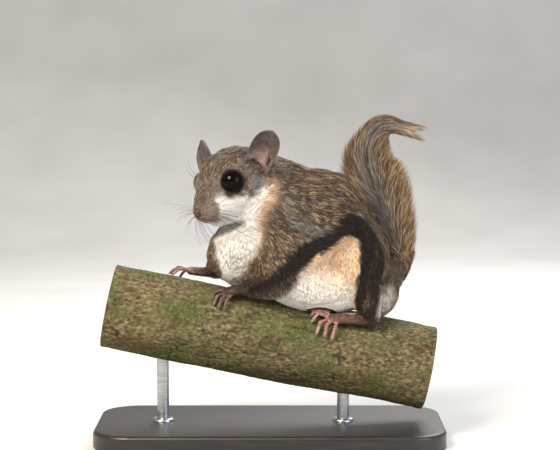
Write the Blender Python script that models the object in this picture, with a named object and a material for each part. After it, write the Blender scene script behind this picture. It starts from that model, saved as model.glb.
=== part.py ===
"""A flying squirrel crouched on a cut length of branch, held by a flat display stand.

The frame is in metres with +Z up. The origin is the centre of the stand's underside.
The squirrel faces -X, its left side is towards -Y. Numbers in the tables are millimetres.
The flesh and tail solids reach out to the tips of the coat. Whiskers are left out.
"""

import math

import bmesh
import bpy
import numpy as np
from mathutils import Vector
from mathutils.bvhtree import BVHTree

MM = 0.001

# Driving dimensions of the stand and the perch
BASE_LENGTH = 142.0
BASE_WIDTH = 70.0
BASE_HEIGHT = 7.0
BASE_CORNER = 16.0
BASE_EDGE = 1.2
ROD_RADIUS = 2.5
ROD_X = (-44.0, 30.0)
ROD_SINK = 3.0
BRANCH_RADIUS = 17.0
BRANCH_SLOPE = 0.2
BRANCH_AXIS_HEIGHT = 41.4
BRANCH_ENDS = (-66.0, 65.0)
BRANCH_BEND = 0.8
BRANCH_BEND_LENGTH = 30.0
BRANCH_SIDES = 18
BRANCH_RINGS = 8
# Swells of the bark: height, how many go round, and the length over which they turn along x
BRANCH_LUMPS = ((0.35, 3, 19.0), (0.25, 7, -11.0))
ROD_SIDES = 16
ROD_OVERLAP = 1.0

# Where the head and neck part from the flesh, and how far a limb's cut stands off its loft
HEAD_BACK = -11.0
NECK_PLANE = (1.0, 0.0, 101.0)
NECK_TILT = (-0.55, -0.2, 0.81)
HEAD_BLOCK = (40.0, 44.0, 31.0)
NECK_BLOCK = (60.0, 90.0, 90.0)
TAIL_BLOCK = (60.0, 60.0, 60.0)
LIMB_MARGIN = {"forearm": 1.3, "shank": 1.6, "upper_arm": 0.9, "thigh": 2.2, "membrane": 1.2}
LIMB_ORDER = (
    "forearm_left",
    "forearm_right",
    "shank_left",
    "shank_right",
    "upper_arm_left",
    "upper_arm_right",
    "thigh_left",
    "thigh_right",
    "membrane_left",
    "membrane_right",
)

# Clearances between touching solids, and the mesh steps of the fused body
GAP = 0.35
FLESH_VOXEL = 1.3
FLESH_TRIANGLES = 1300
PAW_VOXEL = 0.32
PAW_TRIANGLES = 190
RING_POINTS = 20

# Finishes: name, colour, roughness, metallic
FUR = ("fur", (0.16, 0.11, 0.08), 0.9, 0.0)
SKIN = ("skin", (0.30, 0.16, 0.14), 0.6, 0.0)
EYE = ("eye", (0.01, 0.008, 0.006), 0.05, 0.0)
BARK = ("bark", (0.12, 0.11, 0.05), 0.95, 0.0)
WOOD = ("stained_wood", (0.02, 0.018, 0.016), 0.4, 0.0)
STEEL = ("brushed_steel", (0.5, 0.5, 0.5), 0.3, 1.0)
SHARP_ANGLE = math.radians(50.0)

# The head's turn from facing -X, towards the left side, nose down, and its tilt
HEAD_CENTRE = (-17.6, -9.0, 104.6)
HEAD_YAW = math.radians(42.0)
HEAD_PITCH = math.radians(18.0)
HEAD_ROLL = math.radians(8.0)
EYE_RADIUS = 4.7
EYE_PLACES = {"left": (3.4, 9.2, 2.4), "right": (3.2, -8.4, 2.4)}
NOSE_PLACE = (19.0, 0.0, -5.2)
NOSE_BACK = (17.2, 0.0, -5.0)
NOSE_HALVES = ((1.5, 1.2), (1.9, 1.5))
EAR_LENGTH = 16.5
EAR_WIDTH = 11.5
EAR_WALL = 0.8
EAR_GRID = 7
EAR_FOOT = 3.0
EAR_NARROW = 0.75
EAR_SWELL = 0.42
EAR_CUP = 0.32
EAR_FLATTEN = 0.85
EAR_ROUND = 0.7
EAR_TIP = 4.5
# Each ear's root, rise and facing on the head: the left is spread, the right pricked forward
EAR_SEATS = {
    "left": ((-9.4, 12.8, 5.3), (-0.10, 0.75, 0.65), (0.62, 0.76, 0.15)),
    "right": ((-6.5, -13.4, 4.2), (-0.25, -0.56, 0.79), (0.97, -0.12, 0.075)),
}

# Rows of the lofts: x, y, z, half width across, half width up
TRUNK = (
    (44.5, 11.5, 56.0, 10.0, 9.5),
    (38.0, 10.0, 66.0, 16.0, 13.5),
    (31.0, 7.5, 75.5, 20.0, 17.5),
    (21.5, 4.0, 82.5, 22.0, 27.0),
    (8.0, 0.0, 84.5, 20.0, 26.0),
    (-4.0, -3.5, 83.0, 17.0, 23.0),
    (-12.5, -5.0, 77.5, 12.5, 17.0),
    (-18.0, -6.0, 73.0, 8.0, 10.0),
)
BELLY = (
    (-14.0, -4.5, 69.0, 6.0, 6.5),
    (0.0, -4.0, 70.0, 13.0, 11.0),
    (14.0, -4.0, 66.0, 15.0, 13.0),
    (28.0, -2.0, 63.0, 15.0, 12.0),
)
NECK = (
    (-10.0, -3.5, 103.0, 12.0, 12.0),
    (0.0, 0.0, 101.0, 15.5, 16.0),
    (9.0, 1.0, 93.5, 17.0, 17.0),
)
# Head rows: forward, half width, up from the axis, down from the axis, height of the axis
HEAD = (
    (19.0, 1.8, 1.7, 1.8, -5.4),
    (17.0, 4.0, 3.4, 3.6, -5.2),
    (13.5, 7.0, 5.8, 6.2, -4.8),
    (10.0, 10.2, 8.6, 9.6, -3.8),
    (6.0, 12.5, 11.8, 11.4, -2.6),
    (2.0, 13.4, 13.8, 12.0, -1.4),
    (-3.0, 14.0, 14.6, 12.8, -0.8),
    (-8.0, 13.8, 14.8, 13.0, -0.8),
    (-13.0, 12.8, 14.0, 12.6, -1.4),
    (-17.0, 10.8, 11.6, 10.8, -2.0),
)
LIMBS = {
    "upper_arm_left": (
        (4.0, -8.0, 91.0, 10.0, 9.0),
        (6.0, -13.0, 80.0, 10.5, 8.0),
        (3.5, -15.5, 69.0, 9.5, 6.5),
    ),
    "forearm_left": (
        (4.0, -16.5, 64.5, 6.0, 5.0),
        (-3.0, -15.5, 64.0, 5.2, 4.6),
        (-9.5, -13.5, 62.8, 3.4, 3.0),
    ),
    "upper_arm_right": (
        (-4.0, 6.0, 88.0, 9.0, 9.0),
        (-11.0, 6.0, 86.0, 8.0, 8.0),
        (-16.5, 4.5, 82.0, 6.5, 6.5),
    ),
    "forearm_right": (
        (-16.0, 4.5, 82.0, 6.0, 6.0),
        (-19.5, 5.5, 75.0, 4.6, 4.6),
        (-24.0, 6.0, 68.6, 2.9, 2.9),
    ),
    "thigh_left": (
        (35.0, -1.0, 80.0, 11.0, 12.0),
        (37.0, -8.0, 74.0, 10.0, 11.0),
        (36.5, -12.5, 68.0, 7.5, 9.0),
    ),
    "shank_left": (
        (36.0, -12.0, 68.0, 6.5, 8.0),
        (39.5, -13.0, 58.5, 5.5, 7.0),
        (41.5, -12.0, 51.5, 3.8, 4.2),
    ),
    "thigh_right": (
        (38.0, 14.0, 80.0, 12.0, 13.0),
        (29.0, 19.0, 72.0, 10.0, 12.0),
        (24.0, 21.0, 66.0, 7.5, 9.0),
    ),
    "shank_right": (
        (24.0, 20.5, 66.0, 6.5, 8.0),
        (29.0, 19.0, 59.0, 5.5, 7.0),
        (32.0, 14.5, 53.0, 3.8, 4.2),
    ),
}
TAIL = (
    (47.0, 12.5, 59.0, 4.5, 4.5),
    (51.5, 14.5, 66.0, 6.0, 4.8),
    (53.0, 16.5, 76.0, 8.8, 5.0),
    (50.5, 18.0, 87.0, 13.0, 5.2),
    (46.5, 19.0, 97.5, 16.2, 5.4),
    (43.0, 19.0, 106.0, 17.2, 5.4),
    (41.2, 18.5, 114.5, 14.2, 5.2),
    (42.8, 18.0, 122.0, 9.4, 4.8),
    (45.8, 17.5, 126.6, 6.6, 4.4),
    (49.5, 17.0, 128.2, 4.8, 3.6),
    (53.0, 16.5, 127.4, 3.2, 2.4),
)
TAIL_FACE = (-0.50, -0.86, 0.05)
TAIL_CUTS = (0.36, 0.66)
TAIL_POINTS = 10
# The gliding membrane's free edge on each flank, from wrist to ankle; y is a start for the search
MEMBRANE_EDGE = {
    "left": (
        (0.0, -15.0, 64.0),
        (12.2, -17.0, 73.5),
        (20.4, -18.0, 80.4),
        (27.8, -16.0, 86.5),
        (32.7, -12.0, 89.0),
        (36.7, -11.0, 86.5),
        (39.6, -12.0, 79.6),
        (40.0, -14.0, 71.4),
        (38.4, -15.0, 63.3),
        (37.5, -15.0, 56.0),
    ),
    "right": (
        (-24.0, 9.0, 68.5),
        (-14.0, 12.0, 71.0),
        (-4.0, 17.0, 75.0),
        (8.0, 22.0, 84.0),
        (18.0, 25.0, 90.0),
        (26.0, 26.0, 88.0),
        (29.0, 26.0, 80.0),
        (27.0, 24.0, 71.0),
        (28.0, 22.0, 63.0),
        (30.0, 18.0, 56.0),
    ),
}
MEMBRANE_HALF_WIDTH = 5.0
MEMBRANE_HALF_DEPTH = 3.0
# The run of the membrane's fold that is a node of its own: x, y, z, half width, half depth
MEMBRANE_CUT = {
    "left": ((2.0, -17.0, 65.5, 4.0, 5.0), (16.0, -19.0, 77.0, 4.5, 5.0), (29.0, -16.0, 87.5, 5.0, 5.0)),
    "right": ((-15.0, 14.0, 71.0, 4.0, 5.0), (-2.0, 20.5, 77.0, 4.5, 5.0), (13.0, 25.0, 87.0, 5.0, 5.0)),
}


def clear_scene():
    """Removes the startup objects."""
    for thing in list(bpy.data.objects):
        bpy.data.objects.remove(thing)


def finish(look, *things):
    """Gives each thing its own Principled material of one plain colour, and soft shading."""
    name, colour, roughness, metallic = look
    for thing in things:
        material = bpy.data.materials.new(f"{thing.name}_{name}")
        material.use_nodes = True
        shader = material.node_tree.nodes["Principled BSDF"]
        shader.inputs["Base Color"].default_value = (*colour, 1.0)
        shader.inputs["Roughness"].default_value = roughness
        shader.inputs["Metallic"].default_value = metallic
        thing.data.materials.clear()
        thing.data.materials.append(material)
        thing.data.shade_smooth()
        thing.data.set_sharp_from_angle(angle=SHARP_ANGLE)


def through(rows, steps):
    """Points of a Catmull-Rom curve through the rows, with steps spans between neighbours."""
    rows = np.array(rows, float)
    padded = np.vstack([2 * rows[0] - rows[1], rows, 2 * rows[-1] - rows[-2]])
    t = np.linspace(0, len(rows) - 1, steps * (len(rows) - 1) + 1)
    i = np.minimum(t.astype(int), len(rows) - 2)
    u = (t - i)[:, None]
    a, b, c, d = (padded[i + k] for k in range(4))
    return 0.5 * (2 * b + (c - a) * u + (2 * a - 5 * b + 4 * c - d) * u**2 + (3 * b - a - 3 * c + d) * u**3)


def unit(v):
    """The rows of v at length 1."""
    v = np.asarray(v, float)
    return v / np.linalg.norm(v, axis=-1, keepdims=True)


def mesh_object(name, points, faces):
    """A mesh object from points in millimetres."""
    mesh = bpy.data.meshes.new(name)
    mesh.from_pydata([tuple(p) for p in np.asarray(points, float) * MM], [], faces)
    mesh.update()
    thing = bpy.data.objects.new(name, mesh)
    bpy.context.scene.collection.objects.link(thing)
    return thing


def ring_faces(rings, around):
    """Faces of a closed tube: quads between rings, and a fan to a pole at each end."""
    faces = []
    for r in range(rings - 1):
        for k in range(around):
            n = (k + 1) % around
            faces.append((r * around + k, r * around + n, (r + 1) * around + n, (r + 1) * around + k))
    first, last = rings * around, rings * around + 1
    for k in range(around):
        n = (k + 1) % around
        faces.append((first, n, k))
        faces.append((last, (rings - 1) * around + k, (rings - 1) * around + n))
    return faces


def outward(thing):
    """Turns the faces of a closed mesh to point out."""
    work = bmesh.new()
    work.from_mesh(thing.data)
    bmesh.ops.recalc_face_normals(work, faces=work.faces)
    work.to_mesh(thing.data)
    work.free()
    return thing


def loft(name, rows, face=(0.0, 0.0, 1.0), steps=4, around=RING_POINTS, dome=0.8, cap=3):
    """A closed round-ended body: ellipses carried along a smooth path, domed at both ends.

    Each row is x, y, z, half width across, half width along face. The last two
    shrink as a quarter circle over each dome, whose length is dome times the end's width
    and which has cap rings.
    """
    rows = through(rows, steps)
    centre, size = rows[:, :3], rows[:, 3:5]
    along = unit(np.gradient(centre, axis=0))
    turns = np.linspace(0.0, math.pi / 2, cap + 2)[1:-1]
    for end, order in ((0, -1), (-1, 1)):
        reach = dome * size[end].min()
        out = order * along[end]
        caps = [centre[end] + out * reach * math.sin(a) for a in turns]
        sizes = [size[end] * math.cos(a) for a in turns]
        if order < 0:
            centre = np.vstack([caps[::-1], centre])
            size = np.vstack([sizes[::-1], size])
            along = np.vstack([along[:1]] * len(turns) + [along])
            first_pole = centre[cap] + out * reach
        else:
            centre = np.vstack([centre, caps])
            size = np.vstack([size, sizes])
            along = np.vstack([along] + [along[-1:]] * len(turns))
            last_pole = centre[-cap - 1] + out * reach
    across = unit(np.cross(along, face))
    up = np.cross(across, along)
    a = np.linspace(0, 2 * math.pi, around, endpoint=False)
    ring = (
        centre[:, None]
        + across[:, None] * (size[:, 0, None] * np.cos(a))[:, :, None]
        + up[:, None] * (size[:, 1, None] * np.sin(a))[:, :, None]
    )
    points = np.vstack([ring.reshape(-1, 3), first_pole, last_pole])
    return outward(mesh_object(name, points, ring_faces(len(ring), around)))


def head_frame():
    """The head's forward, left and up directions."""
    forward = np.array(
        [
            -math.cos(HEAD_PITCH) * math.cos(HEAD_YAW),
            -math.cos(HEAD_PITCH) * math.sin(HEAD_YAW),
            -math.sin(HEAD_PITCH),
        ]
    )
    level = unit(np.cross((0.0, 0.0, 1.0), forward))
    top = np.cross(forward, level)
    left = math.cos(HEAD_ROLL) * level + math.sin(HEAD_ROLL) * top
    return forward, left, np.cross(forward, left)


def on_head(forward, left, up):
    """A place given in the head's own directions."""
    f, s, u = head_frame()
    return np.array(HEAD_CENTRE) + forward * f + left * s + up * u


def head_shape():
    """The head: rings along its axis, each taller above or below the axis than an ellipse."""
    rows = through(HEAD, 4)
    a = np.linspace(0, 2 * math.pi, RING_POINTS, endpoint=False)
    high = np.where(np.sin(a) > 0, rows[:, 2, None], rows[:, 3, None]) * np.sin(a)
    wide = rows[:, 1, None] * np.sign(np.cos(a)) * np.abs(np.cos(a)) ** 0.9
    f, s, u = head_frame()
    ring = (
        np.array(HEAD_CENTRE)
        + rows[:, 0, None, None] * f
        + wide[:, :, None] * s
        + (rows[:, 4, None] + high)[:, :, None] * u
    )
    points = np.vstack([ring.reshape(-1, 3), ring[0].mean(0) + 0.8 * f, ring[-1].mean(0) - 4.0 * f])
    return outward(mesh_object("head_form", points, ring_faces(len(ring), RING_POINTS)))


def fused(name, pieces, voxel, smoothing, triangles):
    """The pieces as one closed skin: joined, remeshed to voxels, smoothed and thinned."""
    vertices, faces, start = [], [], 0
    for piece in pieces:
        vertices += [tuple(v.co / MM) for v in piece.data.vertices]
        faces += [tuple(i + start for i in p.vertices) for p in piece.data.polygons]
        start = len(vertices)
        bpy.data.objects.remove(piece)
    whole = mesh_object(name, vertices, faces)
    remesh = whole.modifiers.new("One skin", "REMESH")
    remesh.mode = "VOXEL"
    remesh.voxel_size = voxel * MM
    smooth = whole.modifiers.new("Blend", "SMOOTH")
    smooth.iterations = smoothing
    settle(whole)
    whole.data.calc_loop_triangles()
    thin = whole.modifiers.new("Thin", "DECIMATE")
    thin.ratio = min(1.0, triangles / len(whole.data.loop_triangles))
    settle(whole)
    return whole


def settle(thing):
    """Replaces a mesh by what its modifiers make of it."""
    graph = bpy.context.evaluated_depsgraph_get()
    made = bpy.data.meshes.new_from_object(thing.evaluated_get(graph))
    thing.modifiers.clear()
    thing.data = made
    return thing


def cutter(thing):
    """Marks a helper that only shapes others."""
    thing.hide_render = True
    thing.display_type = "WIRE"
    return thing


def swollen(thing, by):
    """A copy of a closed mesh, its points moved out along their normals."""
    copy = thing.copy()
    copy.data = thing.data.copy()
    bpy.context.scene.collection.objects.link(copy)
    for vertex in copy.data.vertices:
        vertex.co += vertex.normal * by * MM
    return cutter(copy)


def boolean(thing, tool, operation):
    """The mesh after one Boolean."""
    cut = thing.modifiers.new("Cut", "BOOLEAN")
    cut.operation = operation
    cut.object = tool
    cut.solver = "EXACT"
    return settle(thing)


def largest_only(thing):
    """Drops every loose bit but the one with the most faces."""
    work = bmesh.new()
    work.from_mesh(thing.data)
    bmesh.ops.remove_doubles(work, verts=work.verts, dist=0.00001)
    seen, islands = set(), []
    for start in work.faces:
        if start in seen:
            continue
        seen.add(start)
        island, todo = [], [start]
        while todo:
            face = todo.pop()
            island.append(face)
            for edge in face.edges:
                for other in edge.link_faces if len(edge.link_faces) == 2 else ():
                    if other not in seen:
                        seen.add(other)
                        todo.append(other)
        islands.append(island)
    islands.sort(key=len)
    spare = [face for island in islands[:-1] for face in island]
    bmesh.ops.delete(work, geom=spare, context="FACES")
    work.to_mesh(thing.data)
    work.free()
    return thing


def copy_of(thing, name):
    """A second object with its own copy of the mesh."""
    made = thing.copy()
    made.data = thing.data.copy()
    made.name = name
    bpy.context.scene.collection.objects.link(made)
    return made


def drop(*things):
    """Removes helpers."""
    for thing in things:
        bpy.data.objects.remove(thing)


def part_off(rest, region, name):
    """Takes the part of rest inside region as its own node, and leaves a gap round it."""
    node = boolean(copy_of(rest, name), region, "INTERSECT")
    largest_only(node)
    wider = swollen(region, GAP)
    boolean(rest, wider, "DIFFERENCE")
    largest_only(rest)
    drop(wider, region)
    return node


def branch_shape(extra=0.0):
    """The perch: a gently bent, slightly lumpy log, sawn square at both ends."""
    x = np.linspace(BRANCH_ENDS[0] - extra, BRANCH_ENDS[1] + extra, BRANCH_RINGS)
    a = np.linspace(0, 2 * math.pi, BRANCH_SIDES, endpoint=False)
    height = BRANCH_AXIS_HEIGHT - BRANCH_SLOPE * x
    sideways = BRANCH_BEND * np.sin(x / BRANCH_BEND_LENGTH)
    lumps = sum(tall * np.sin(many * a[None] + x[:, None] / run) for tall, many, run in BRANCH_LUMPS)
    radius = BRANCH_RADIUS + lumps + extra
    slope = math.hypot(1.0, BRANCH_SLOPE)
    points = np.stack(
        [
            x[:, None] + radius * np.sin(a) * BRANCH_SLOPE / slope,
            sideways[:, None] - radius * np.cos(a),
            height[:, None] + radius * np.sin(a) / slope,
        ],
        axis=2,
    )
    centres = points.mean(1)
    points = np.vstack([points.reshape(-1, 3), centres[0], centres[-1]])
    return outward(mesh_object("perch_branch", points, ring_faces(BRANCH_RINGS, BRANCH_SIDES)))


def membrane_shape(name, trunk, side, edge):
    """The folded gliding membrane: a flat roll of skin along the flank from wrist to ankle.

    Each point of the edge that finds the trunk along Y is laid on its surface.
    """
    tree = BVHTree.FromObject(trunk, bpy.context.evaluated_depsgraph_get())
    rows = []
    for x, y, z in edge:
        start = Vector((x, side * 100.0, z)) * MM
        hit = tree.ray_cast(start, Vector((0.0, -side, 0.0)))[0]
        y = max(side * y, side * hit.y / MM) * side if hit else y
        rows.append((x, y, z, MEMBRANE_HALF_WIDTH, MEMBRANE_HALF_DEPTH))
    return loft(name, rows, face=(0.0, side, 0.0), steps=3, around=12)


def ear_shape(name, side):
    """A cupped leaf of skin: its outline is an egg, its hollow faces out and forward."""
    s = np.linspace(-1, 1, EAR_GRID)[None]
    t = np.linspace(0, 1, EAR_GRID)[:, None]
    half = 0.5 * EAR_WIDTH * (EAR_NARROW + EAR_SWELL * t) * np.sqrt(np.clip(1 - t**EAR_TIP, 0, 1)) + 0.25
    wide = half * np.sin(s * math.pi / 2)
    cup = EAR_CUP * EAR_WIDTH * s**2 * (1 - EAR_FLATTEN * t**2) * np.minimum(1, half / 3)
    tall = -EAR_FOOT + (EAR_LENGTH + EAR_FOOT) * t - EAR_ROUND * s**2 * t
    root, rise, facing = EAR_SEATS[side]
    rise = unit(np.array(rise) @ head_frame())
    facing = np.array(facing) @ head_frame()
    facing = unit(facing - rise * (facing @ rise))
    sideways = np.cross(rise, facing)
    middle = on_head(*root) + wide[:, :, None] * sideways + tall[:, :, None] * rise
    middle += (cup[:, :, None] - 1.0) * facing
    wall = 0.5 * EAR_WALL * facing
    front, back = (middle + wall).reshape(-1, 3), (middle - wall).reshape(-1, 3)
    n = EAR_GRID
    count = n * n
    faces = []
    for r in range(n - 1):
        for k in range(n - 1):
            i = r * n + k
            quad = (i, i + 1, i + 1 + n, i + n)
            faces.append(quad)
            faces.append(tuple(count + j for j in reversed(quad)))
    rim = list(range(n)) + [n * (r + 1) - 1 for r in range(1, n)]
    rim += [count - 1 - k for k in range(1, n)] + [n * r for r in range(n - 2, 0, -1)]
    for i, j in zip(rim, rim[1:] + rim[:1]):
        faces.append((j, i, count + i, count + j))
    return outward(mesh_object(name, np.vstack([front, back]), faces))


def ball(name, centre, radius, segments=12, rings=8):
    """A round ball."""
    bpy.ops.mesh.primitive_uv_sphere_add(
        segments=segments, ring_count=rings, radius=radius * MM, location=Vector(centre) * MM
    )
    thing = bpy.context.active_object
    thing.name = name
    bpy.ops.object.transform_apply()
    return thing


# A claw's path from the toe's tip: forward, down, half width, half height
CLAW = ((0.0, 0.0, 0.55, 0.6), (1.0, 0.2, 0.45, 0.5), (1.7, 0.9, 0.28, 0.3))
CLAW_DROP = (0.0, 0.0, -0.7)
DIGIT_FACE = (0.3, 1.0, 0.2)


def digits(paw):
    """Lofts of one paw: a flat palm, toes that bend over the branch, and their claws."""
    pieces = [loft("palm", paw["palm"], steps=4, around=14)]
    for toe in paw["toes"]:
        root, knuckle, tip = (np.array(p, float) for p in toe)
        r = paw["toe_radius"]
        rows = [(*root, r, r * 0.9), (*knuckle, r * 0.92, r), (*tip, r * 0.8, r * 0.75)]
        pieces.append(loft("toe", rows, face=DIGIT_FACE, steps=4, around=10))
        way = unit(tip - knuckle)
        down = unit(way + np.array(CLAW_DROP))
        claw = [(*(tip + far * way + low * down), w, h) for far, low, w, h in CLAW]
        pieces.append(loft("claw", claw, face=DIGIT_FACE, steps=3, around=8, dome=0.5))
    return pieces


PAWS = {
    "hand_left": {
        "toe_radius": 0.85,
        "palm": (
            (-10.0, -13.0, 62.8, 3.2, 2.8),
            (-14.0, -12.4, 62.4, 3.8, 2.5),
            (-17.6, -12.0, 61.2, 3.6, 2.1),
        ),
        "toes": (
            ((-18.2, -9.4, 61.8), (-21.0, -10.0, 61.8), (-23.4, -10.9, 60.4)),
            ((-18.8, -11.2, 61.2), (-21.0, -12.8, 60.0), (-22.4, -14.6, 57.2)),
            ((-18.2, -13.0, 60.4), (-19.6, -14.6, 58.8), (-20.4, -15.9, 56.2)),
            ((-16.6, -14.2, 60.0), (-17.4, -15.6, 58.6), (-17.9, -16.4, 56.2)),
        ),
    },
    "hand_right": {
        "toe_radius": 0.85,
        "palm": ((-24.0, 7.0, 67.4, 2.8, 2.6), (-29.0, 6.0, 67.6, 3.2, 2.2), (-33.0, 5.0, 68.2, 3.4, 2.0)),
        "toes": (
            ((-33.0, 2.4, 68.2), (-36.6, 0.8, 69.6), (-39.6, -0.6, 67.8)),
            ((-34.0, 4.0, 68.6), (-37.6, 3.4, 70.0), (-41.0, 3.0, 67.8)),
            ((-34.0, 6.0, 68.2), (-37.2, 6.8, 69.4), (-40.4, 7.6, 66.8)),
            ((-32.6, 7.6, 67.6), (-35.0, 9.6, 68.0), (-37.6, 11.2, 65.0)),
        ),
    },
    "foot_left": {
        "toe_radius": 0.95,
        "palm": (
            (41.5, -12.2, 49.6, 3.0, 2.8),
            (33.0, -12.6, 50.4, 3.3, 2.5),
            (25.0, -13.2, 50.6, 3.6, 2.3),
        ),
        "toes": (
            ((23.5, -10.5, 52.0), (20.0, -10.6, 54.6), (17.0, -11.4, 52.4)),
            ((22.8, -12.0, 51.2), (19.6, -12.6, 53.0), (17.0, -13.8, 50.0)),
            ((22.6, -13.4, 50.0), (20.4, -15.4, 49.6), (18.8, -17.0, 45.6)),
            ((24.0, -14.6, 49.4), (22.8, -16.6, 48.4), (22.0, -17.6, 44.4)),
            ((26.4, -15.2, 49.0), (26.2, -16.8, 47.6), (25.0, -17.6, 43.8)),
        ),
    },
    "foot_right": {
        "toe_radius": 0.95,
        "palm": ((31.0, 14.0, 51.0, 3.0, 2.8), (22.0, 13.4, 51.8, 3.3, 2.5), (14.0, 13.2, 52.8, 3.6, 2.3)),
        "toes": (
            ((12.5, 10.4, 54.4), (9.0, 9.8, 57.0), (5.8, 9.8, 56.4)),
            ((12.0, 12.2, 53.4), (8.4, 12.6, 55.6), (5.4, 13.6, 53.6)),
            ((12.0, 14.0, 52.4), (8.8, 15.2, 53.4), (6.4, 16.6, 49.8)),
            ((13.0, 15.4, 51.4), (10.6, 17.0, 51.4), (9.2, 17.8, 47.6)),
            ((15.0, 16.2, 50.8), (13.6, 17.8, 49.8), (12.6, 18.0, 46.2)),
        ),
    },
}


def region_along(name, rows, margin):
    """The convex hull of a widened limb: what of the flesh inside it belongs to the limb."""
    rows = [(x, y, z, w + margin, h + margin) for x, y, z, w, h in rows]
    form = loft(name, rows, face=DIGIT_FACE, steps=1, around=8, cap=1)
    work = bmesh.new()
    for vertex in form.data.vertices:
        work.verts.new(vertex.co)
    hull = bmesh.ops.convex_hull(work, input=work.verts)
    spare = [item for item in hull["geom_interior"] if isinstance(item, bmesh.types.BMVert)]
    bmesh.ops.delete(work, geom=spare, context="VERTS")
    bmesh.ops.recalc_face_normals(work, faces=work.faces)
    work.to_mesh(form.data)
    work.free()
    return cutter(form)


def block_region(name, corner, axes, lengths):
    """A box that starts at the middle of one face and runs along the first axis."""
    a, b, c = (np.array(v, float) for v in axes)
    along, across, tall = lengths
    points = []
    for t in (0.0, along):
        for p, q in ((-1, -1), (1, -1), (1, 1), (-1, 1)):
            points.append(np.array(corner) + a * t + b * p * across / 2 + c * q * tall / 2)
    faces = [(3, 2, 1, 0), (4, 5, 6, 7), (0, 1, 5, 4), (1, 2, 6, 5), (2, 3, 7, 6), (3, 0, 4, 7)]
    block = outward(mesh_object(name, points, faces))
    return cutter(block)


def build_flesh():
    """The whole animal but its paws, ears, eyes, nose and tail, as one fused skin."""
    trunk = loft("trunk_form", TRUNK, steps=4, around=28)
    pieces = [
        trunk,
        loft("belly_form", BELLY, steps=4),
        loft("neck_form", NECK, steps=4),
        head_shape(),
        membrane_shape("membrane_left", trunk, -1, MEMBRANE_EDGE["left"]),
        membrane_shape("membrane_right", trunk, 1, MEMBRANE_EDGE["right"]),
        loft("tail_root", TAIL[:3], face=TAIL_FACE),
    ]
    for name, rows in LIMBS.items():
        pieces.append(loft(name + "_form", rows, face=DIGIT_FACE))
    return fused("trunk", pieces, FLESH_VOXEL, 4, FLESH_TRIANGLES)


def build_stand(branch):
    """The stand: a flat base with rounded corners and two rods up to the branch."""
    h, w, c = BASE_LENGTH / 2, BASE_WIDTH / 2, BASE_CORNER
    a = np.linspace(0, math.pi / 2, 4)
    corners = ((h - c, w - c, 0.0), (c - h, w - c, 0.5), (c - h, c - w, 1.0), (h - c, c - w, 1.5))
    outline = []
    for x, y, turn in corners:
        outline += [(x + c * math.cos(t + turn * math.pi), y + c * math.sin(t + turn * math.pi)) for t in a]
    n = len(outline)
    points = [(x, y, z) for z in (0.0, BASE_HEIGHT) for x, y in outline]
    faces = [tuple(range(n - 1, -1, -1)), tuple(range(n, 2 * n))]
    faces += [(k, (k + 1) % n, n + (k + 1) % n, n + k) for k in range(n)]
    base = outward(mesh_object("stand_base", points, faces))
    edge = base.modifiers.new("Softened edge", "BEVEL")
    edge.width = BASE_EDGE * MM
    edge.segments = 1
    settle(base)
    rods = []
    for name, x in zip(("stand_rod_front", "stand_rod_rear"), ROD_X):
        low = BASE_HEIGHT - ROD_SINK
        high = BRANCH_AXIS_HEIGHT - BRANCH_SLOPE * x - BRANCH_RADIUS + ROD_SINK + ROD_OVERLAP
        bpy.ops.mesh.primitive_cylinder_add(
            vertices=ROD_SIDES,
            radius=ROD_RADIUS * MM,
            depth=(high - low) * MM,
            location=(x * MM, 0, (high + low) / 2 * MM),
        )
        rod = bpy.context.active_object
        rod.name = name
        bpy.ops.object.transform_apply()
        wide = swollen(rod, GAP)
        boolean(base, wide, "DIFFERENCE")
        boolean(branch, wide, "DIFFERENCE")
        drop(wide)
        rods.append(rod)
    return base, rods


def head_region():
    """A box round the head, from the plane where it meets the neck."""
    f, left, up = head_frame()
    return block_region("region", on_head(HEAD_BACK, 0, 1.5), (f, left, up), HEAD_BLOCK)


def neck_region():
    """The flesh above the plane where the neck leaves the shoulders."""
    tilt = unit(NECK_TILT)
    side = unit(np.cross(tilt, (1.0, 0.0, 0.0)))
    return block_region("region", NECK_PLANE, (tilt, side, np.cross(tilt, side)), NECK_BLOCK)


def build_head_pieces(flesh):
    """Eyes, nose and ears, each in a socket with a gap."""
    pieces = []
    for name, place in EYE_PLACES.items():
        centre = on_head(*place)
        socket = cutter(ball("socket", centre, EYE_RADIUS + GAP))
        boolean(flesh, socket, "DIFFERENCE")
        drop(socket)
        pieces.append(ball("eye_" + name, centre, EYE_RADIUS))
    back = on_head(*NOSE_BACK)
    rows = ((*back, *NOSE_HALVES[0]), (*on_head(*NOSE_PLACE), *NOSE_HALVES[1]))
    nose = loft("nose", rows, face=head_frame()[2], steps=1, around=8, cap=2)
    cut_clear(flesh, nose)
    pieces.append(nose)
    for name in EAR_SEATS:
        ear = ear_shape("ear_" + name, name)
        cut_clear(ear, flesh)
        pieces.append(ear)
    return pieces


def cut_clear(thing, neighbour):
    """Cuts thing back from its neighbour by the gap, and keeps the largest bit."""
    wide = swollen(neighbour, GAP)
    boolean(thing, wide, "DIFFERENCE")
    largest_only(thing)
    drop(wide)


def build_tail(flesh):
    """The tail: one broad flat brush, parted in three across its length."""
    brush = loft("tail_base", TAIL, face=TAIL_FACE, steps=2, around=TAIL_POINTS, cap=2)
    cut_clear(brush, flesh)
    rows = through(TAIL, 12)[:, :3]
    lengths = []
    for share, name in zip(reversed(TAIL_CUTS), ("tail_tip", "tail_middle")):
        i = int(share * (len(rows) - 1))
        way = unit(rows[i + 1] - rows[i])
        side = unit(np.cross(way, (0.0, 1.0, 0.0)))
        region = block_region("region", rows[i], (way, side, np.cross(way, side)), TAIL_BLOCK)
        lengths.append(part_off(brush, region, name))
    return [brush] + lengths


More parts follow.
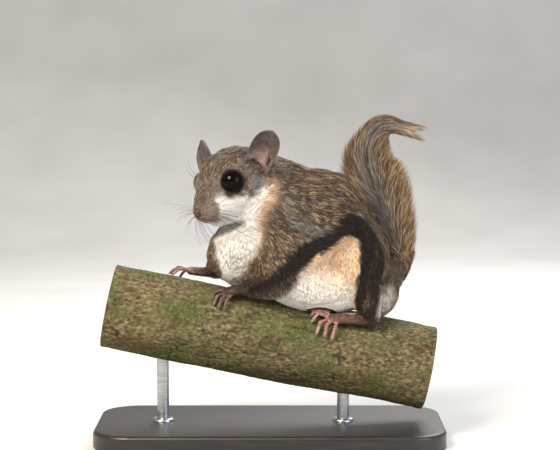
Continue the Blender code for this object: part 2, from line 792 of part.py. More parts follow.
def build_paws(clearance, neighbours):
    """Hands and feet: fused digits on a palm, pressed to the branch with a gap."""
    paws = []
    for name, paw in PAWS.items():
        thing = fused(name, digits(paw), PAW_VOXEL, 2, PAW_TRIANGLES)
        boolean(thing, clearance, "DIFFERENCE")
        for neighbour in neighbours:
            cut_clear(thing, neighbour)
        paws.append(thing)
    return paws


def main():
    """Builds the solids from the perch up."""
    clear_scene()
    branch = branch_shape()
    clearance = cutter(branch_shape(extra=GAP))
    base, rods = build_stand(branch)

    flesh = build_flesh()
    boolean(flesh, clearance, "DIFFERENCE")
    largest_only(flesh)
    head_pieces = build_head_pieces(flesh)
    tail = build_tail(flesh)

    limbs = []
    for name in LIMB_ORDER:
        kind, side = name.rsplit("_", 1)
        rows = MEMBRANE_CUT[side] if kind == "membrane" else LIMBS[name]
        region = region_along("region", rows, LIMB_MARGIN[kind])
        limbs.append(part_off(flesh, region, name))
    head = part_off(flesh, head_region(), "head")
    neck = part_off(flesh, neck_region(), "neck")
    paws = build_paws(clearance, limbs + [flesh])
    drop(clearance)

    finish(FUR, flesh, head, neck, *limbs, *tail)
    finish(SKIN, *head_pieces[2:], *paws)
    finish(EYE, *head_pieces[:2])
    finish(BARK, branch)
    finish(WOOD, base)
    finish(STEEL, *rods)


if __name__ == "__main__":
    main()
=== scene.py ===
"""Looks of a life-size flying squirrel on a cut branch: skin, coat, face, paws, perch and stand.

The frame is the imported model's: +Z up, the animal faces -X and its left side is towards -Y.
Numbers in tables and arrays are millimetres, and become metres where a mesh is made.
"""

import logging
import math
from dataclasses import dataclass, field
from enum import Enum
from functools import reduce

import bpy
import numpy as np
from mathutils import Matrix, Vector
from mathutils.bvhtree import BVHTree
from mathutils.kdtree import KDTree


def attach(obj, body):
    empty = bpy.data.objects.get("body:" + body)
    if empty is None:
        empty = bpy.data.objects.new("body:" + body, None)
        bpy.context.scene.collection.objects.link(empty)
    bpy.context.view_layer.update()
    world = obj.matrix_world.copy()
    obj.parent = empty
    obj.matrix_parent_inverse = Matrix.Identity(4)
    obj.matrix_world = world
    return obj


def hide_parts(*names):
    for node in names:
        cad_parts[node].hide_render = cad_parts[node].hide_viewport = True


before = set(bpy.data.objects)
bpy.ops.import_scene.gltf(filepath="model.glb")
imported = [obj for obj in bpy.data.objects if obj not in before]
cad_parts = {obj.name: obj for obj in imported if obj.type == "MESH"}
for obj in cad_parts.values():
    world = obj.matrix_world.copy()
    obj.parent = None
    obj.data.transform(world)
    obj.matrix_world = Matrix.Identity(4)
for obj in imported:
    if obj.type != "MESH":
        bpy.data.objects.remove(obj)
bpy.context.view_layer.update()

MM = 0.001
LOG = logging.getLogger("squirrel")
Array = np.ndarray
Rows = tuple[tuple[float, ...], ...]
Triple = tuple[float, float, float]
Shape = tuple[Array, list[Array]]
Stops = tuple[tuple[float, str], ...]
Dice = np.random.Generator
Thing = bpy.types.Object
Material = bpy.types.Material
Socket = bpy.types.NodeSocket


# Shapes as whole arrays


def unit(v: Array | tuple) -> Array:
    """The rows of v at length 1."""
    v = np.asarray(v, float)
    return v / np.maximum(np.linalg.norm(v, axis=-1, keepdims=True), 1e-9)


def ramp(low: float | Array, high: float | Array, x: Array) -> Array:
    """A soft step from 0 at low to 1 at high: 3t^2 - 2t^3 of the share t between them."""
    t = np.clip((x - low) / (high - low), 0, 1)
    return t * t * (3 - 2 * t)


def mix(a: Array | float, b: Array | float, t: Array | float) -> Array:
    """The point the share t of the way from a to b."""
    return a + (b - a) * t


def dot(a: Array, b: Array) -> Array:
    """The dot product of each row."""
    return np.sum(a * b, axis=-1)


def norms(v: Array) -> Array:
    """The length of each row."""
    return np.linalg.norm(v, axis=1)


def fade(low: float | Array, high: float | Array, x: Array) -> Array:
    """A soft step down from 1 at low to 0 at high."""
    return 1 - ramp(low, high, x)


def bell(x: Array) -> Array:
    """exp(-x^2): 1 at 0, and about a third at 1."""
    return np.exp(-(x**2))


def most(*arrays: Array) -> Array:
    """The greatest value at each place."""
    return reduce(np.maximum, arrays)


def noise(points: Array, cell: float, seed: int) -> Array:
    """Smooth noise from -1 to 1.

    Each corner of a cubic lattice has one hashed value, and a soft step blends the eight round
    a point.

    Args:
        points: Places, one a row.
        cell: The lattice's spacing.
        seed: Picks another set of values.

    Returns:
        One value for each point.
    """
    place = points / cell
    corner = np.floor(place).astype(np.int64)
    t = place - corner
    t = t * t * (3 - 2 * t)
    total = np.zeros(len(points))
    for step in np.ndindex(2, 2, 2):
        k = corner + step
        h = (k[:, 0] * 73856093) ^ (k[:, 1] * 19349663) ^ (k[:, 2] * 83492791) ^ (seed * 2654435761)
        h = ((h ^ (h >> 13)) * 1274126177) & 0x7FFFFFFF
        value = ((h ^ (h >> 15)) & 0xFFFF) / 32767.5 - 1
        total += value * np.prod(np.where(step, t, 1.0 - t), axis=1)
    return total


def through(rows: Rows | Array, steps: int) -> Array:
    """Points of a Catmull-Rom curve through the rows, with steps spans between neighbours."""
    rows = np.array(rows, float)
    padded = np.vstack([2 * rows[0] - rows[1], rows, 2 * rows[-1] - rows[-2]])
    t = np.linspace(0, len(rows) - 1, steps * (len(rows) - 1) + 1)
    i = np.minimum(t.astype(int), len(rows) - 2)
    u = (t - i)[:, None]
    a, b, c, d = (padded[i + k] for k in range(4))
    return 0.5 * (2 * b + (c - a) * u + (2 * a - 5 * b + 4 * c - d) * u**2 + (3 * b - a - 3 * c + d) * u**3)


def grid_faces(rows: int, columns: int, closed: bool = False) -> Array:
    """Quads between neighbours of a grid of points, round again to the first column if closed."""
    r, k = np.meshgrid(np.arange(rows - 1), np.arange(columns if closed else columns - 1), indexing="ij")
    n = (k + 1) % columns
    here, above = r * columns, (r + 1) * columns
    return np.stack([here + k, here + n, above + n, above + k], axis=-1).reshape(-1, 4)


def fan_faces(ring: Array, pole: int) -> Array:
    """Triangles from each edge of a ring of point numbers to a pole."""
    return np.stack([np.full(len(ring), pole), np.roll(ring, -1), ring], axis=1)


def tube(
    centre: Array, size: Array, face: Array | tuple = (0, 0, 1), around: int = 12
) -> Shape:
    """A closed tube: ellipses square to a path, with a pole at each end.

    Args:
        centre: The path's points.
        size: Half width across and half width along face at each point.
        face: A direction that the second width leans towards.
        around: Points of each ellipse.

    Returns:
        The points and the blocks of faces, turned outwards.
    """
    along = unit(np.gradient(centre, axis=0))
    across = unit(np.cross(along, face))
    up = np.cross(across, along)
    a = np.linspace(0, 2 * math.pi, around, endpoint=False)
    ring = (
        centre[:, None]
        + across[:, None] * (size[:, 0, None] * np.cos(a))[:, :, None]
        + up[:, None] * (size[:, 1, None] * np.sin(a))[:, :, None]
    )
    return capped(ring, centre[0], centre[-1])


def capped(rings: Array, low: Array, high: Array) -> Shape:
    """A closed shape of rings, with a fan to a pole at each end.

    Args:
        rings: The rings' points: rings, places round, 3.
        low: The pole before the first ring.
        high: The pole after the last.

    Returns:
        The points and the blocks of faces, turned outwards.
    """
    rows, around = rings.shape[:2]
    first = np.arange(around)
    blocks = [
        grid_faces(rows, around, closed=True),
        fan_faces(first, rows * around),
        fan_faces(first[::-1] + (rows - 1) * around, rows * around + 1),
    ]
    return turned_out(np.vstack([rings.reshape(-1, 3), [low], [high]]), blocks)


def domed(rows: Rows | Array, steps: int, dome: float = 0.8, cap: int = 3) -> tuple[Array, Array]:
    """A smooth path with its widths, whose ends round off.

    The widths of the last rings shrink as a quarter circle over dome times the end's width.

    Args:
        rows: x, y, z, half width across, half width along the face.
        steps: Spans between neighbouring rows.
        dome: Length of the round end, as a share of its width.
        cap: Rings of each round end.

    Returns:
        The centres and the two half widths.
    """
    rows = through(rows, steps)
    centre, size = rows[:, :3], rows[:, 3:5]
    along = unit(np.gradient(centre, axis=0))
    turn = np.linspace(0, math.pi / 2, cap + 2)[1:, None]
    shrink = np.maximum(np.cos(turn), 0.03)
    low = centre[0] - along[0] * dome * size[0].min() * np.sin(turn)
    high = centre[-1] + along[-1] * dome * size[-1].min() * np.sin(turn)
    centre = np.vstack([low[::-1], centre, high])
    return centre, np.vstack([(size[0] * shrink)[::-1], size, size[-1] * shrink])


def turned_out(points: Array, blocks: list[Array]) -> Shape:
    """The faces of a closed shape, all reversed if the volume they enclose comes out negative."""
    volume = 0
    for block in blocks:
        a, b, c = (points[block[:, k]] for k in (0, 1, 2))
        volume += dot(a, np.cross(b, c)).sum()
        if block.shape[1] == 4:
            volume += dot(a, np.cross(c, points[block[:, 3]])).sum()
    return points, [block[:, ::-1] for block in blocks] if volume < 0 else blocks


def joined(shapes: list[Shape]) -> Shape:
    """Several shapes as one list of points and one of face blocks."""
    points, blocks, start = [], [], 0
    for shape, faces in shapes:
        points.append(shape)
        blocks += [block + start for block in faces]
        start += len(shape)
    return np.vstack(points), blocks


# Meshes


def mesh_piece(name: str, points: Array, blocks: list[Array], smooth: bool = True) -> Thing:
    """A mesh object at the origin.

    Args:
        name: The piece's name.
        points: Places in millimetres.
        blocks: Arrays of faces, all of one array with the same number of corners.
        smooth: Whether the faces are shaded smooth.

    Returns:
        The object, linked to the scene.
    """
    mesh = bpy.data.meshes.new(name)
    mesh.vertices.add(len(points))
    mesh.vertices.foreach_set("co", (points * MM).astype(np.float32).ravel())
    corners = np.concatenate([block.ravel() for block in blocks]).astype(np.int32)
    counts = np.concatenate([np.full(len(block), block.shape[1]) for block in blocks])
    mesh.loops.add(len(corners))
    mesh.loops.foreach_set("vertex_index", corners)
    mesh.polygons.add(len(counts))
    mesh.polygons.foreach_set("loop_start", np.concatenate([[0], np.cumsum(counts)[:-1]]).astype(np.int32))
    mesh.update(calc_edges=True)
    mesh.polygons.foreach_set("use_smooth", np.full(len(counts), smooth))
    piece = bpy.data.objects.new(name, mesh)
    bpy.context.scene.collection.objects.link(piece)
    return piece


def stored(items: object, key: str, width: int = 3, kind: type = np.float32) -> Array:
    """One value of every item of a mesh's collection, as rows of this width."""
    flat = np.empty(len(items) * width, kind)
    items.foreach_get(key, flat)
    return flat.reshape(-1, width)


def points_of(piece: Thing) -> Array:
    """The mesh's points in millimetres."""
    return stored(piece.data.vertices, "co").astype(float) / MM


def normals_of(piece: Thing) -> Array:
    """The mesh's normals at its points."""
    return stored(piece.data.vertices, "normal").astype(float)


def triangles_of(piece: Thing) -> Array:
    """The mesh's faces as triangles of point numbers."""
    piece.data.calc_loop_triangles()
    return stored(piece.data.loop_triangles, "vertices", kind=np.int32)


def reshape(piece: Thing, points: Array) -> None:
    """Moves the mesh's points."""
    piece.data.vertices.foreach_set("co", (points * MM).astype(np.float32).ravel())
    piece.data.update()


def settle(piece: Thing) -> Thing:
    """Replaces a mesh by what its modifiers make of it."""
    graph = bpy.context.evaluated_depsgraph_get()
    made = bpy.data.meshes.new_from_object(piece.evaluated_get(graph))
    old = piece.data
    piece.modifiers.clear()
    piece.data = made
    bpy.data.meshes.remove(old)
    return piece


def remeshed(piece: Thing, voxel: float, passes: int) -> Thing:
    """One closed skin round whatever the mesh holds, its steps smoothed away."""
    modifier = piece.modifiers.new("One skin", "REMESH")
    modifier.mode = "VOXEL"
    modifier.voxel_size = voxel * MM
    modifier.use_smooth_shade = True
    softer = piece.modifiers.new("Soften", "SMOOTH")
    softer.iterations = passes
    return settle(piece)


def welded(points: Array, triangles: Array) -> tuple[Array, Array]:
    """Points that share a place are made one, and triangles left without area go."""
    keys = np.round(points / 0.002).astype(np.int64)
    _, first, same = np.unique(keys, axis=0, return_index=True, return_inverse=True)
    triangles = same.reshape(-1)[triangles]
    good = np.all(triangles != np.roll(triangles, 1, axis=1), axis=1)
    return points[first], triangles[good]


def facing(points: Array, triangles: Array) -> tuple[Array, Array]:
    """Twice each triangle's area along its normal, and the mean normal at each point."""
    a, b, c = (points[triangles[:, k]] for k in range(3))
    way = np.cross(b - a, c - a)
    total = np.zeros_like(points)
    for k in range(3):
        np.add.at(total, triangles[:, k], way)
    return way, unit(total)


def colour_layer(piece: Thing, name: str, columns: list[Array | float]) -> None:
    """Stores four shares a point, which the materials read."""
    count = len(piece.data.vertices)
    table = np.stack([np.broadcast_to(np.asarray(c, float), count) for c in columns], axis=1)
    layer = piece.data.attributes.new(name, "FLOAT_COLOR", "POINT")
    layer.data.foreach_set("color", np.clip(table, 0, 1).astype(np.float32).ravel())


def bake_map(piece: Thing, places: Array) -> None:
    """Adds an unwrap named OFBake, from one place a point."""
    corner = stored(piece.data.loops, "vertex_index", 1, np.int32)[:, 0]
    layer = piece.data.uv_layers.new(name="OFBake")
    layer.data.foreach_set("uv", places[corner].astype(np.float32).ravel())


def hand_over(piece: Thing, slot: str, *nodes: str) -> None:
    """Seats a finished piece on the model's one body, in place of these nodes."""
    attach(piece, "root")
    if nodes:
        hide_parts(*nodes)
    LOG.info("%s: %d triangles", piece.name, len(triangles_of(piece)))


# Finishes


def linear(code: str) -> tuple[float, float, float, float]:
    """A hex sRGB colour as linear light, with full cover."""
    shares = [int(code[k : k + 2], 16) / 255 for k in (1, 3, 5)]
    return (*(c / 12.92 if c <= 0.04045 else ((c + 0.055) / 1.055) ** 2.4 for c in shares), 1)


# For each kind of node: the inputs that values go to in turn, the output read, its usual settings
KINDS = {
    "Mix": ((0, 6, 7), 2, {"data_type": "RGBA"}),
    "Math": ((0, 1, 2), 0, {"operation": "MULTIPLY", "use_clamp": True}),
    "MapRange": (range(5), 0, {}),
    "ValToRGB": ((0,), 0, {}),
    "TexCoord": ((), "Object", {}),
    "Mapping": (("Vector", "Scale"), 0, {}),
    "TexNoise": (("Vector", "Scale", "Detail"), 0, {}),
    "TexVoronoi": (("Vector", "Scale"), "Distance", {"feature": "DISTANCE_TO_EDGE"}),
    "Attribute": ((), "Color", {}),
    "SeparateColor": ((0,), 0, {}),
    "Bump": (("Height", "Strength", "Distance"), 0, {}),
}


class Recipe:
    """A material while it is made: its nodes and its one Principled shader."""

    def __init__(self, name: str, roughness: float, ior: float = 1.5, **sockets: float) -> None:
        """Starts the material.

        Args:
            name: What it is made of.
            roughness: Its plain roughness.
            ior: Its refractive index.
            sockets: Other plain shader values, with _ for the spaces in their names.
        """
        self.material = bpy.data.materials.new(name)
        self.material.use_nodes = True
        self.tree = self.material.node_tree
        self.shader = self.tree.nodes["Principled BSDF"]
        for key, value in {"Roughness": roughness, "IOR": ior, **sockets}.items():
            self.shader.inputs[key.replace("_", " ")].default_value = value

    def add(self, kind: str, *values: object, stops: Stops = (), **settings: object) -> Socket:
        """Adds a node.

        Args:
            kind: One of KINDS.
            values: For its inputs in turn, a value, a hex colour or the socket that feeds it.
            stops: A colour ramp's shares from 0 to 1 and hex colours.
            settings: The node's own properties.

        Returns:
            The output that is read.
        """
        inputs, output, usual = KINDS[kind]
        node = self.tree.nodes.new("ShaderNode" + kind)
        for key, value in {**usual, **settings}.items():
            setattr(node, key, value)
        for key, value in zip(inputs, values):
            if isinstance(value, bpy.types.NodeSocket):
                self.tree.links.new(value, node.inputs[key])
            else:
                node.inputs[key].default_value = linear(value) if isinstance(value, str) else value
        for k, (share, code) in enumerate(stops):
            elements = node.color_ramp.elements
            element = elements[k] if k < len(elements) else elements.new(share)
            element.position, element.color = share, linear(code)
        return node.outputs[output]

    def shares(self, name: str) -> list[Socket]:
        """The four shares stored at each point under this name."""
        layer = self.add("Attribute", attribute_name=name)
        split = self.add("SeparateColor", layer).node
        return [*split.outputs[:3], layer.node.outputs["Alpha"]]

    def grain(self, size_mm: float, stretch: tuple = (1, 1, 1), detail: float = 2) -> Socket:
        """Noise on Object coordinates, about 0.5 on average.

        Args:
            size_mm: How wide one feature really is.
            stretch: How much finer it is along x, y and z.
            detail: Octaves of finer noise.

        Returns:
            The noise's socket.
        """
        place = self.add("Mapping", self.add("TexCoord"), stretch)
        return self.add("TexNoise", place, 1 / (size_mm * MM), detail)

    def cells(self, size_mm: float, steep: float) -> Socket:
        """Cobbles about this many mm across, 0 in the creases between them."""
        return self.add("Math", self.add("TexVoronoi", self.add("TexCoord"), 1 / (size_mm * MM)), steep)

    def finished(self, colour: Socket, relief: tuple = (), rough: Socket | None = None) -> Material:
        """Leads the patterns into the shader.

        Args:
            colour: The base colour.
            relief: The height's socket, the share of it that shows and its depth in mm.
            rough: The roughness, where it varies.

        Returns:
            The material.
        """
        links = {"Base Color": colour, "Roughness": rough}
        if relief:
            height, share, depth_mm = relief
            links["Normal"] = self.add("Bump", height, share, depth_mm * MM)
        for key, socket in links.items():
            if socket:
                self.tree.links.new(socket, self.shader.inputs[key])
        return self.material


@dataclass(frozen=True)
class Pigment:
    """Colours of the coat: banded brown back, slate wool, pale underside, dark membrane band."""

    wool: str = "#2d2a28"
    shaft: str = "#57463a"
    tips: Stops = ((0, "#f0d6ab"), (0.24, "#b59672"), (0.5, "#705a48"), (0.72, "#3b2f28"), (1, "#120e0c"))
    grey: Stops = ((0, "#3f3d3c"), (1, "#b7b2ab"))
    rufous: str = "#80603f"
    band: Stops = ((0, "#1a100b"), (0.6, "#1a100b"), (1, "#3f2819"))
    pale: Stops = ((0, "#e6e1d9"), (0.7, "#ebe6de"), (1, "#ebe6de"))
    buff: str = "#ebc293"
    pink: str = "#857169"
    shade: Stops = ((0, "#ffffff"), (1, "#e4e2e0"))

    def colour(self, recipe: Recipe) -> Socket:
        """Mixes the pigments by the stored shares.

        Args:
            recipe: The material.

        Returns:
            The colour's socket.
        """
        add = recipe.add
        pale, band, buff, grey = recipe.shares("marks")
        rufous, along, chance, pink = recipe.shares("marks2")
        shaft = add("ValToRGB", along, stops=((0, self.wool), (0.55, self.shaft), (1, self.shaft)))
        ticked = add("ValToRGB", chance, stops=self.tips)
        base = add("Mix", add("MapRange", along, 0.3, 0.75), shaft, ticked)
        base = add("Mix", add("Math", rufous, 0.62), base, self.rufous)
        lift = add("Math", along, 0.6, add("Math", chance, 0.4), operation="MULTIPLY_ADD")
        base = add("Mix", grey, base, add("ValToRGB", lift, stops=self.grey))
        base = add("Mix", band, base, add("ValToRGB", along, stops=self.band))
        base = add("Mix", pale, base, add("ValToRGB", along, stops=self.pale))
        base = add("Mix", buff, base, self.buff)
        base = add("Mix", pink, base, self.pink)
        return add("Mix", 0.6, base, add("ValToRGB", chance, stops=self.shade), blend_type="MULTIPLY")


@dataclass(frozen=True)
class FurFinish:
    """Clean dry mammal hair: keratin, so its gloss is faint and broad, with a soft bloom of light."""

    roughness: float = 0.60
    ior: float = 1.55
    sheen: float = 0.03

    def material(self) -> Material:
        """The coat's material."""
        gloss = {"Specular_IOR_Level": 0.22, "Sheen_Weight": self.sheen}
        recipe = Recipe("fur", self.roughness, self.ior, **gloss)
        return recipe.finished(Pigment().colour(recipe))


@dataclass(frozen=True)
class SkinFinish:
    """Thin skin under the coat, bare and finely creased on nose, lids, palms and toes."""

    roughness: float = 0.55
    crease_mm: float = 0.55

    def material(self) -> Material:
        """The skin's material: the coat's pigments, and the stored tint where it is bare."""
        recipe = Recipe("skin", self.roughness, 1.4, Specular_IOR_Level=0.22)
        tint = recipe.add("Attribute", attribute_name="tint")
        mottle = recipe.add("ValToRGB", recipe.grain(1.1), stops=((0.35, "#98877f"), (0.65, "#ffffff")))
        flesh = recipe.add("Mix", 0.75, tint, mottle, blend_type="MULTIPLY")
        colour = recipe.add("Mix", tint.node.outputs["Alpha"], Pigment().colour(recipe), flesh)
        return recipe.finished(colour, (recipe.cells(self.crease_mm, 2.5), 0.5, 0.08))


@dataclass(frozen=True)
class EyeFinish:
    """A wet dark eyeball under clear cornea: near-black pupil, very dark brown iris, sharp gloss."""

    ior: float = 1.38
    pupil: Stops = ((0, "#060403"), (0.19, "#050302"))
    iris: Stops = ((0.225, "#0d0705"), (0.29, "#0a0504"), (0.33, "#050303"))

    def material(self) -> Material:
        """The eye's material: colour rings by the angle from the eye's axis."""
        recipe = Recipe("eyeball", 0.05, self.ior, Specular_IOR_Level=0.15)
        fibres = recipe.grain(0.5, detail=3)
        angle = recipe.add("Math", fibres, 0.02, recipe.shares("iris")[0], operation="MULTIPLY_ADD")
        return recipe.finished(recipe.add("ValToRGB", angle, stops=self.pupil + self.iris))


@dataclass(frozen=True)
class NoseFinish:
    """Bare moist nose skin: brown-pink and cobbled in cells a quarter of a millimetre across, with painted
    shade in the nostrils.
    """

    cell_mm: float = 0.26

    def material(self) -> Material:
        """The nose pad's material."""
        recipe = Recipe("nose_skin", 0.5, 1.4)
        skin = recipe.add("ValToRGB", recipe.grain(1.2), stops=((0.3, "#3c2a26"), (0.7, "#5a3f39")))
        # Painted shade: the stored nostril share darkens the nostrils' hollows.
        colour = recipe.add("Mix", recipe.shares("nostril")[0], skin, "#2a1614")
        return recipe.finished(colour, (recipe.cells(self.cell_mm, 3), 0.6, 0.04))


@dataclass(frozen=True)
class EarFinish:
    """Thin ear skin that lets a little light through: mauve-grey leaf, pink hollow, pale rim, and painted
    shade in the cleft beside the fold.
    """

    leaf: Stops = ((0.3, "#3b3533"), (0.7, "#584e4a"))
    outside: Stops = ((0.3, "#3f3637"), (0.7, "#54494a"))
    hollow: str = "#c9a49b"
    rim: str = "#6d5d58"
    # Painted shade in the cleft beside the fold
    cleft: str = "#1d1211"

    def material(self) -> Material:
        """The ears' material, by the stored shares of cleft, hollow, rim and back; the cleft's near-black
        is painted shade.
        """
        recipe = Recipe("ear_skin", 0.58, 1.4, Specular_IOR_Level=0.22)
        add = recipe.add
        cleft, hollow, rim, back = recipe.shares("leaf")
        leaf = add("ValToRGB", recipe.grain(1.6, detail=4), stops=self.leaf)
        over = ((hollow, 0.9, self.hollow), (rim, 0.6, self.rim), (cleft, 0.95, self.cleft))
        for share, full, code in over:
            leaf = add("Mix", add("Math", share, full), leaf, code)
        leaf = add("Mix", back, leaf, add("ValToRGB", recipe.grain(1.2), stops=self.outside))
        return recipe.finished(leaf, (recipe.grain(0.5, detail=3), 0.4, 0.06))


@dataclass(frozen=True)
class WhiskerFinish:
    """Stiff whisker keratin: smooth, so it catches a line of light; some dark, some silvery."""

    tones: Stops = ((0, "#17120f"), (0.5, "#3a322c"), (1, "#8f8880"))

    def material(self) -> Material:
        """The whiskers' material."""
        recipe = Recipe("whisker", 0.3, 1.55)
        return recipe.finished(recipe.add("ValToRGB", recipe.shares("tone")[0], stops=self.tones))


@dataclass(frozen=True)
class BarkFinish:
    """Smooth-barked hardwood limb under a film of green algae; dull and dry, with rough cracks painted dark
    as shade.
    """

    bark: Stops = ((0.25, "#292215"), (0.42, "#4b412a"), (0.55, "#655a3e"), (0.72, "#857a5f"))
    algae: Stops = ((0.3, "#2e3218"), (0.55, "#4e5229"), (0.75, "#6d7045"))
    wood: Stops = ((0, "#8a6a43"), (0.5, "#b8986a"), (1, "#cfb389"))
    ring_turns: float = 90.0

    def material(self) -> Material:
        """The branch's material: bark on the sides, ringed wood where it is sawn."""
        recipe = Recipe("mossy_bark", 0.9, 1.5, Specular_IOR_Level=0.25)
        add, grain = recipe.add, recipe.grain
        cut, radial, crack, _ = recipe.shares("wood")
        colour = add("ValToRGB", grain(1.1, (0.6, 1, 1), 8), stops=self.bark)
        algae = add("ValToRGB", grain(1.1, detail=6), stops=self.algae)
        colour = add("Mix", add("MapRange", grain(14, (0.6, 1, 1), 5), 0.42, 0.66), colour, algae)
        fleck = add("MapRange", grain(0.8, detail=3), 0.62, 0.72)
        scar = add("MapRange", grain(5, (0.5, 1, 1), 5), 0.60, 0.70)
        # Painted shade: the fissures and knot pits are coloured near-black.
        over = ((fleck, 0.5, "#8f8b6c"), (scar, 0.8, "#48331f"), (crack, 0.75, "#231d12"))
        for share, full, code in over:
            colour = add("Mix", add("Math", share, full), colour, code)
        turns = add("Math", grain(9), 0.06, radial, operation="MULTIPLY_ADD")
        turns = add("Math", turns, self.ring_turns, use_clamp=False)
        wave = add("MapRange", add("Math", turns, operation="SINE", use_clamp=False), -1, 1)
        wood = add("ValToRGB", wave, stops=self.wood)
        wood = add("Mix", add("MapRange", radial, 0.90, 0.935), wood, "#3f3220")
        relief = (grain(0.7, (0.4, 1, 1), 6), 0.7, 0.35)
        return recipe.finished(add("Mix", cut, colour, wood), relief)


@dataclass(frozen=True)
class GrainFinish:
    """A material whose colour follows one fine grain, and its relief and gloss too where it has them."""

    name: str
    roughness: float
    ior: float
    grain: tuple
    stops: Stops
    relief: tuple = ()
    gloss: tuple = ()
    sockets: tuple = ()

    def material(self) -> Material:
        """The material."""
        recipe = Recipe(self.name, self.roughness, self.ior, **dict(self.sockets))
        pattern = recipe.grain(*self.grain)
        relief = (pattern, *self.relief) if self.relief else ()
        rough = recipe.add("MapRange", pattern, 0, 1, *self.gloss) if self.gloss else None
        return recipe.finished(recipe.add("ValToRGB", pattern, stops=self.stops), relief, rough)


# Horn: translucent grey-brown keratin with a worn gloss
CLAW_HORN = GrainFinish("claw_horn", 0.32, 1.54, (0.7,), ((0.3, "#4c4038"), (0.7, "#85756a")))
# Close-grained wood stained near black and rubbed with wax: satin, with faint long pores
STAINED_WOOD = GrainFinish(
    "stained_wood",
    0.38,
    1.5,
    (0.9, (0.06, 1, 1), 4),
    ((0.3, "#120f0d"), (0.55, "#221c18"), (0.8, "#33291f")),
    (0.35, 0.05),
    (0.32, 0.5),
    (("Coat_Weight", 0.15), ("Coat_Roughness", 0.3)),
)
# Turned and brushed stainless steel: fine rings round the rod that spread its highlight
BRUSHED_STEEL = GrainFinish(
    "brushed_steel",
    0.3,
    1.5,
    (0.5, (0.05, 0.05, 1), 3),
    ((0.3, "#9a9c9e"), (0.7, "#c4c6c8")),
    (0.3, 0.02),
    (0.24, 0.4),
    (("Metallic", 1),),
)
# Matt pale paper: no gloss, a trace of unevenness
PAPER_TONES = ((0.3, "#d2d0cc"), (0.7, "#dad8d4"))
PALE_PAPER = GrainFinish("pale_paper", 0.9, 1.5, (60,), PAPER_TONES, sockets=(("Specular_IOR_Level", 0.1),))


# Where things are on the animal


class Surface:
    """A closed surface of triangles that can be asked for its nearest place."""

    def __init__(self, points: Array, triangles: Array) -> None:
        """Keeps the mesh, its normals and its search tree.

        Args:
            points: The surface's points.
            triangles: Its faces.
        """
        self.points = points
        self.triangles = triangles
        way, self.normal = facing(points, triangles)
        self.area = 0.5 * norms(way)
        self.tree = BVHTree.FromPolygons(points.tolist(), triangles.tolist())

    def nearest(self, places: Array) -> tuple[Array, Array]:
        """The surface's nearest place and its normal, for each place.

        Args:
            places: Places anywhere.

        Returns:
            The places laid on the surface, and the mean normal of the triangle under each.
        """
        found = [self.tree.find_nearest(place) for place in places.tolist()]
        laid = np.array([hit[0] for hit in found])
        corners = self.triangles[[hit[2] for hit in found]]
        return laid, unit(self.normal[corners].sum(1))

    def scatter(self, weight: Array, count: int, dice: Dice) -> tuple[Array, Array]:
        """Places spread over the surface at random.

        Args:
            weight: How densely each triangle is covered.
            count: How many places.
            dice: The seeded generator.

        Returns:
            The places and the smooth normals there.
        """
        share = np.cumsum(self.area * weight)
        pick = np.searchsorted(share, (np.arange(count) + dice.random(count)) / count * share[-1])
        corner = self.triangles[np.minimum(pick, len(self.triangles) - 1)]
        u, v = dice.random((2, count))
        flip = u + v > 1
        u, v = np.where(flip, 1 - u, u), np.where(flip, 1 - v, v)
        parts = np.stack([1 - u - v, u, v], axis=1)[:, :, None]
        return (self.points[corner] * parts).sum(1), unit((self.normal[corner] * parts).sum(1))


@dataclass(frozen=True)
class HeadFrame:
    """The head's own directions: forward to the nose, to its left, and up to the crown."""

    centre: Triple = (-17.6, -9, 104.6)
    yaw: float = math.radians(42.0)
    pitch: float = math.radians(18.0)
    roll: float = math.radians(8.0)

    def axes(self) -> Array:
        """Forward, left and up as the rows of a matrix."""
        flat = math.cos(self.pitch)
        forward = np.array([-flat * math.cos(self.yaw), -flat * math.sin(self.yaw), -math.sin(self.pitch)])
        level = unit(np.cross((0, 0, 1), forward))
        left = math.cos(self.roll) * level + math.sin(self.roll) * np.cross(forward, level)
        return np.array([forward, left, np.cross(forward, left)])

    def place(self, local: Array | tuple) -> Array:
        """Places given as forward, left and up."""
        return np.array(self.centre) + np.asarray(local, float) @ self.axes()

    def turn(self, local: Array | tuple) -> Array:
        """Directions given as forward, left and up."""
        return np.asarray(local, float) @ self.axes()

    def local(self, places: Array) -> Array:
        """The forward, left and up of places."""
        return (places - np.array(self.centre)) @ self.axes().T


HEAD = HeadFrame()


@dataclass(frozen=True)
class EyePlace:
    """One eyeball and the opening of its lids."""

    side: int
    radius: float = 4.7
    opening: float = math.radians(57.0)
    place: Triple = (3.4, 9.2, 2.4)

    @property
    def centre(self) -> Array:
        """The ball's centre."""
        return HEAD.place(self.place)

    @property
    def axis(self) -> Array:
        """The direction that the eye looks in."""
        return unit(HEAD.turn((0.62, self.side * 0.78, 0.06)))

    def bearing(self, places: Array) -> tuple[Array, Array]:
        """Distance from the ball's centre, and angle from its axis."""
        away = places - self.centre
        far = norms(away)
        return far, np.arccos(np.clip(away @ self.axis / most(far, 1e-6), -1, 1))


EYES = (EyePlace(1), EyePlace(-1, opening=math.radians(45), place=(3.2, -8.4, 2.4)))

MIRROR = np.array([1.0, -1.0, 1.0])

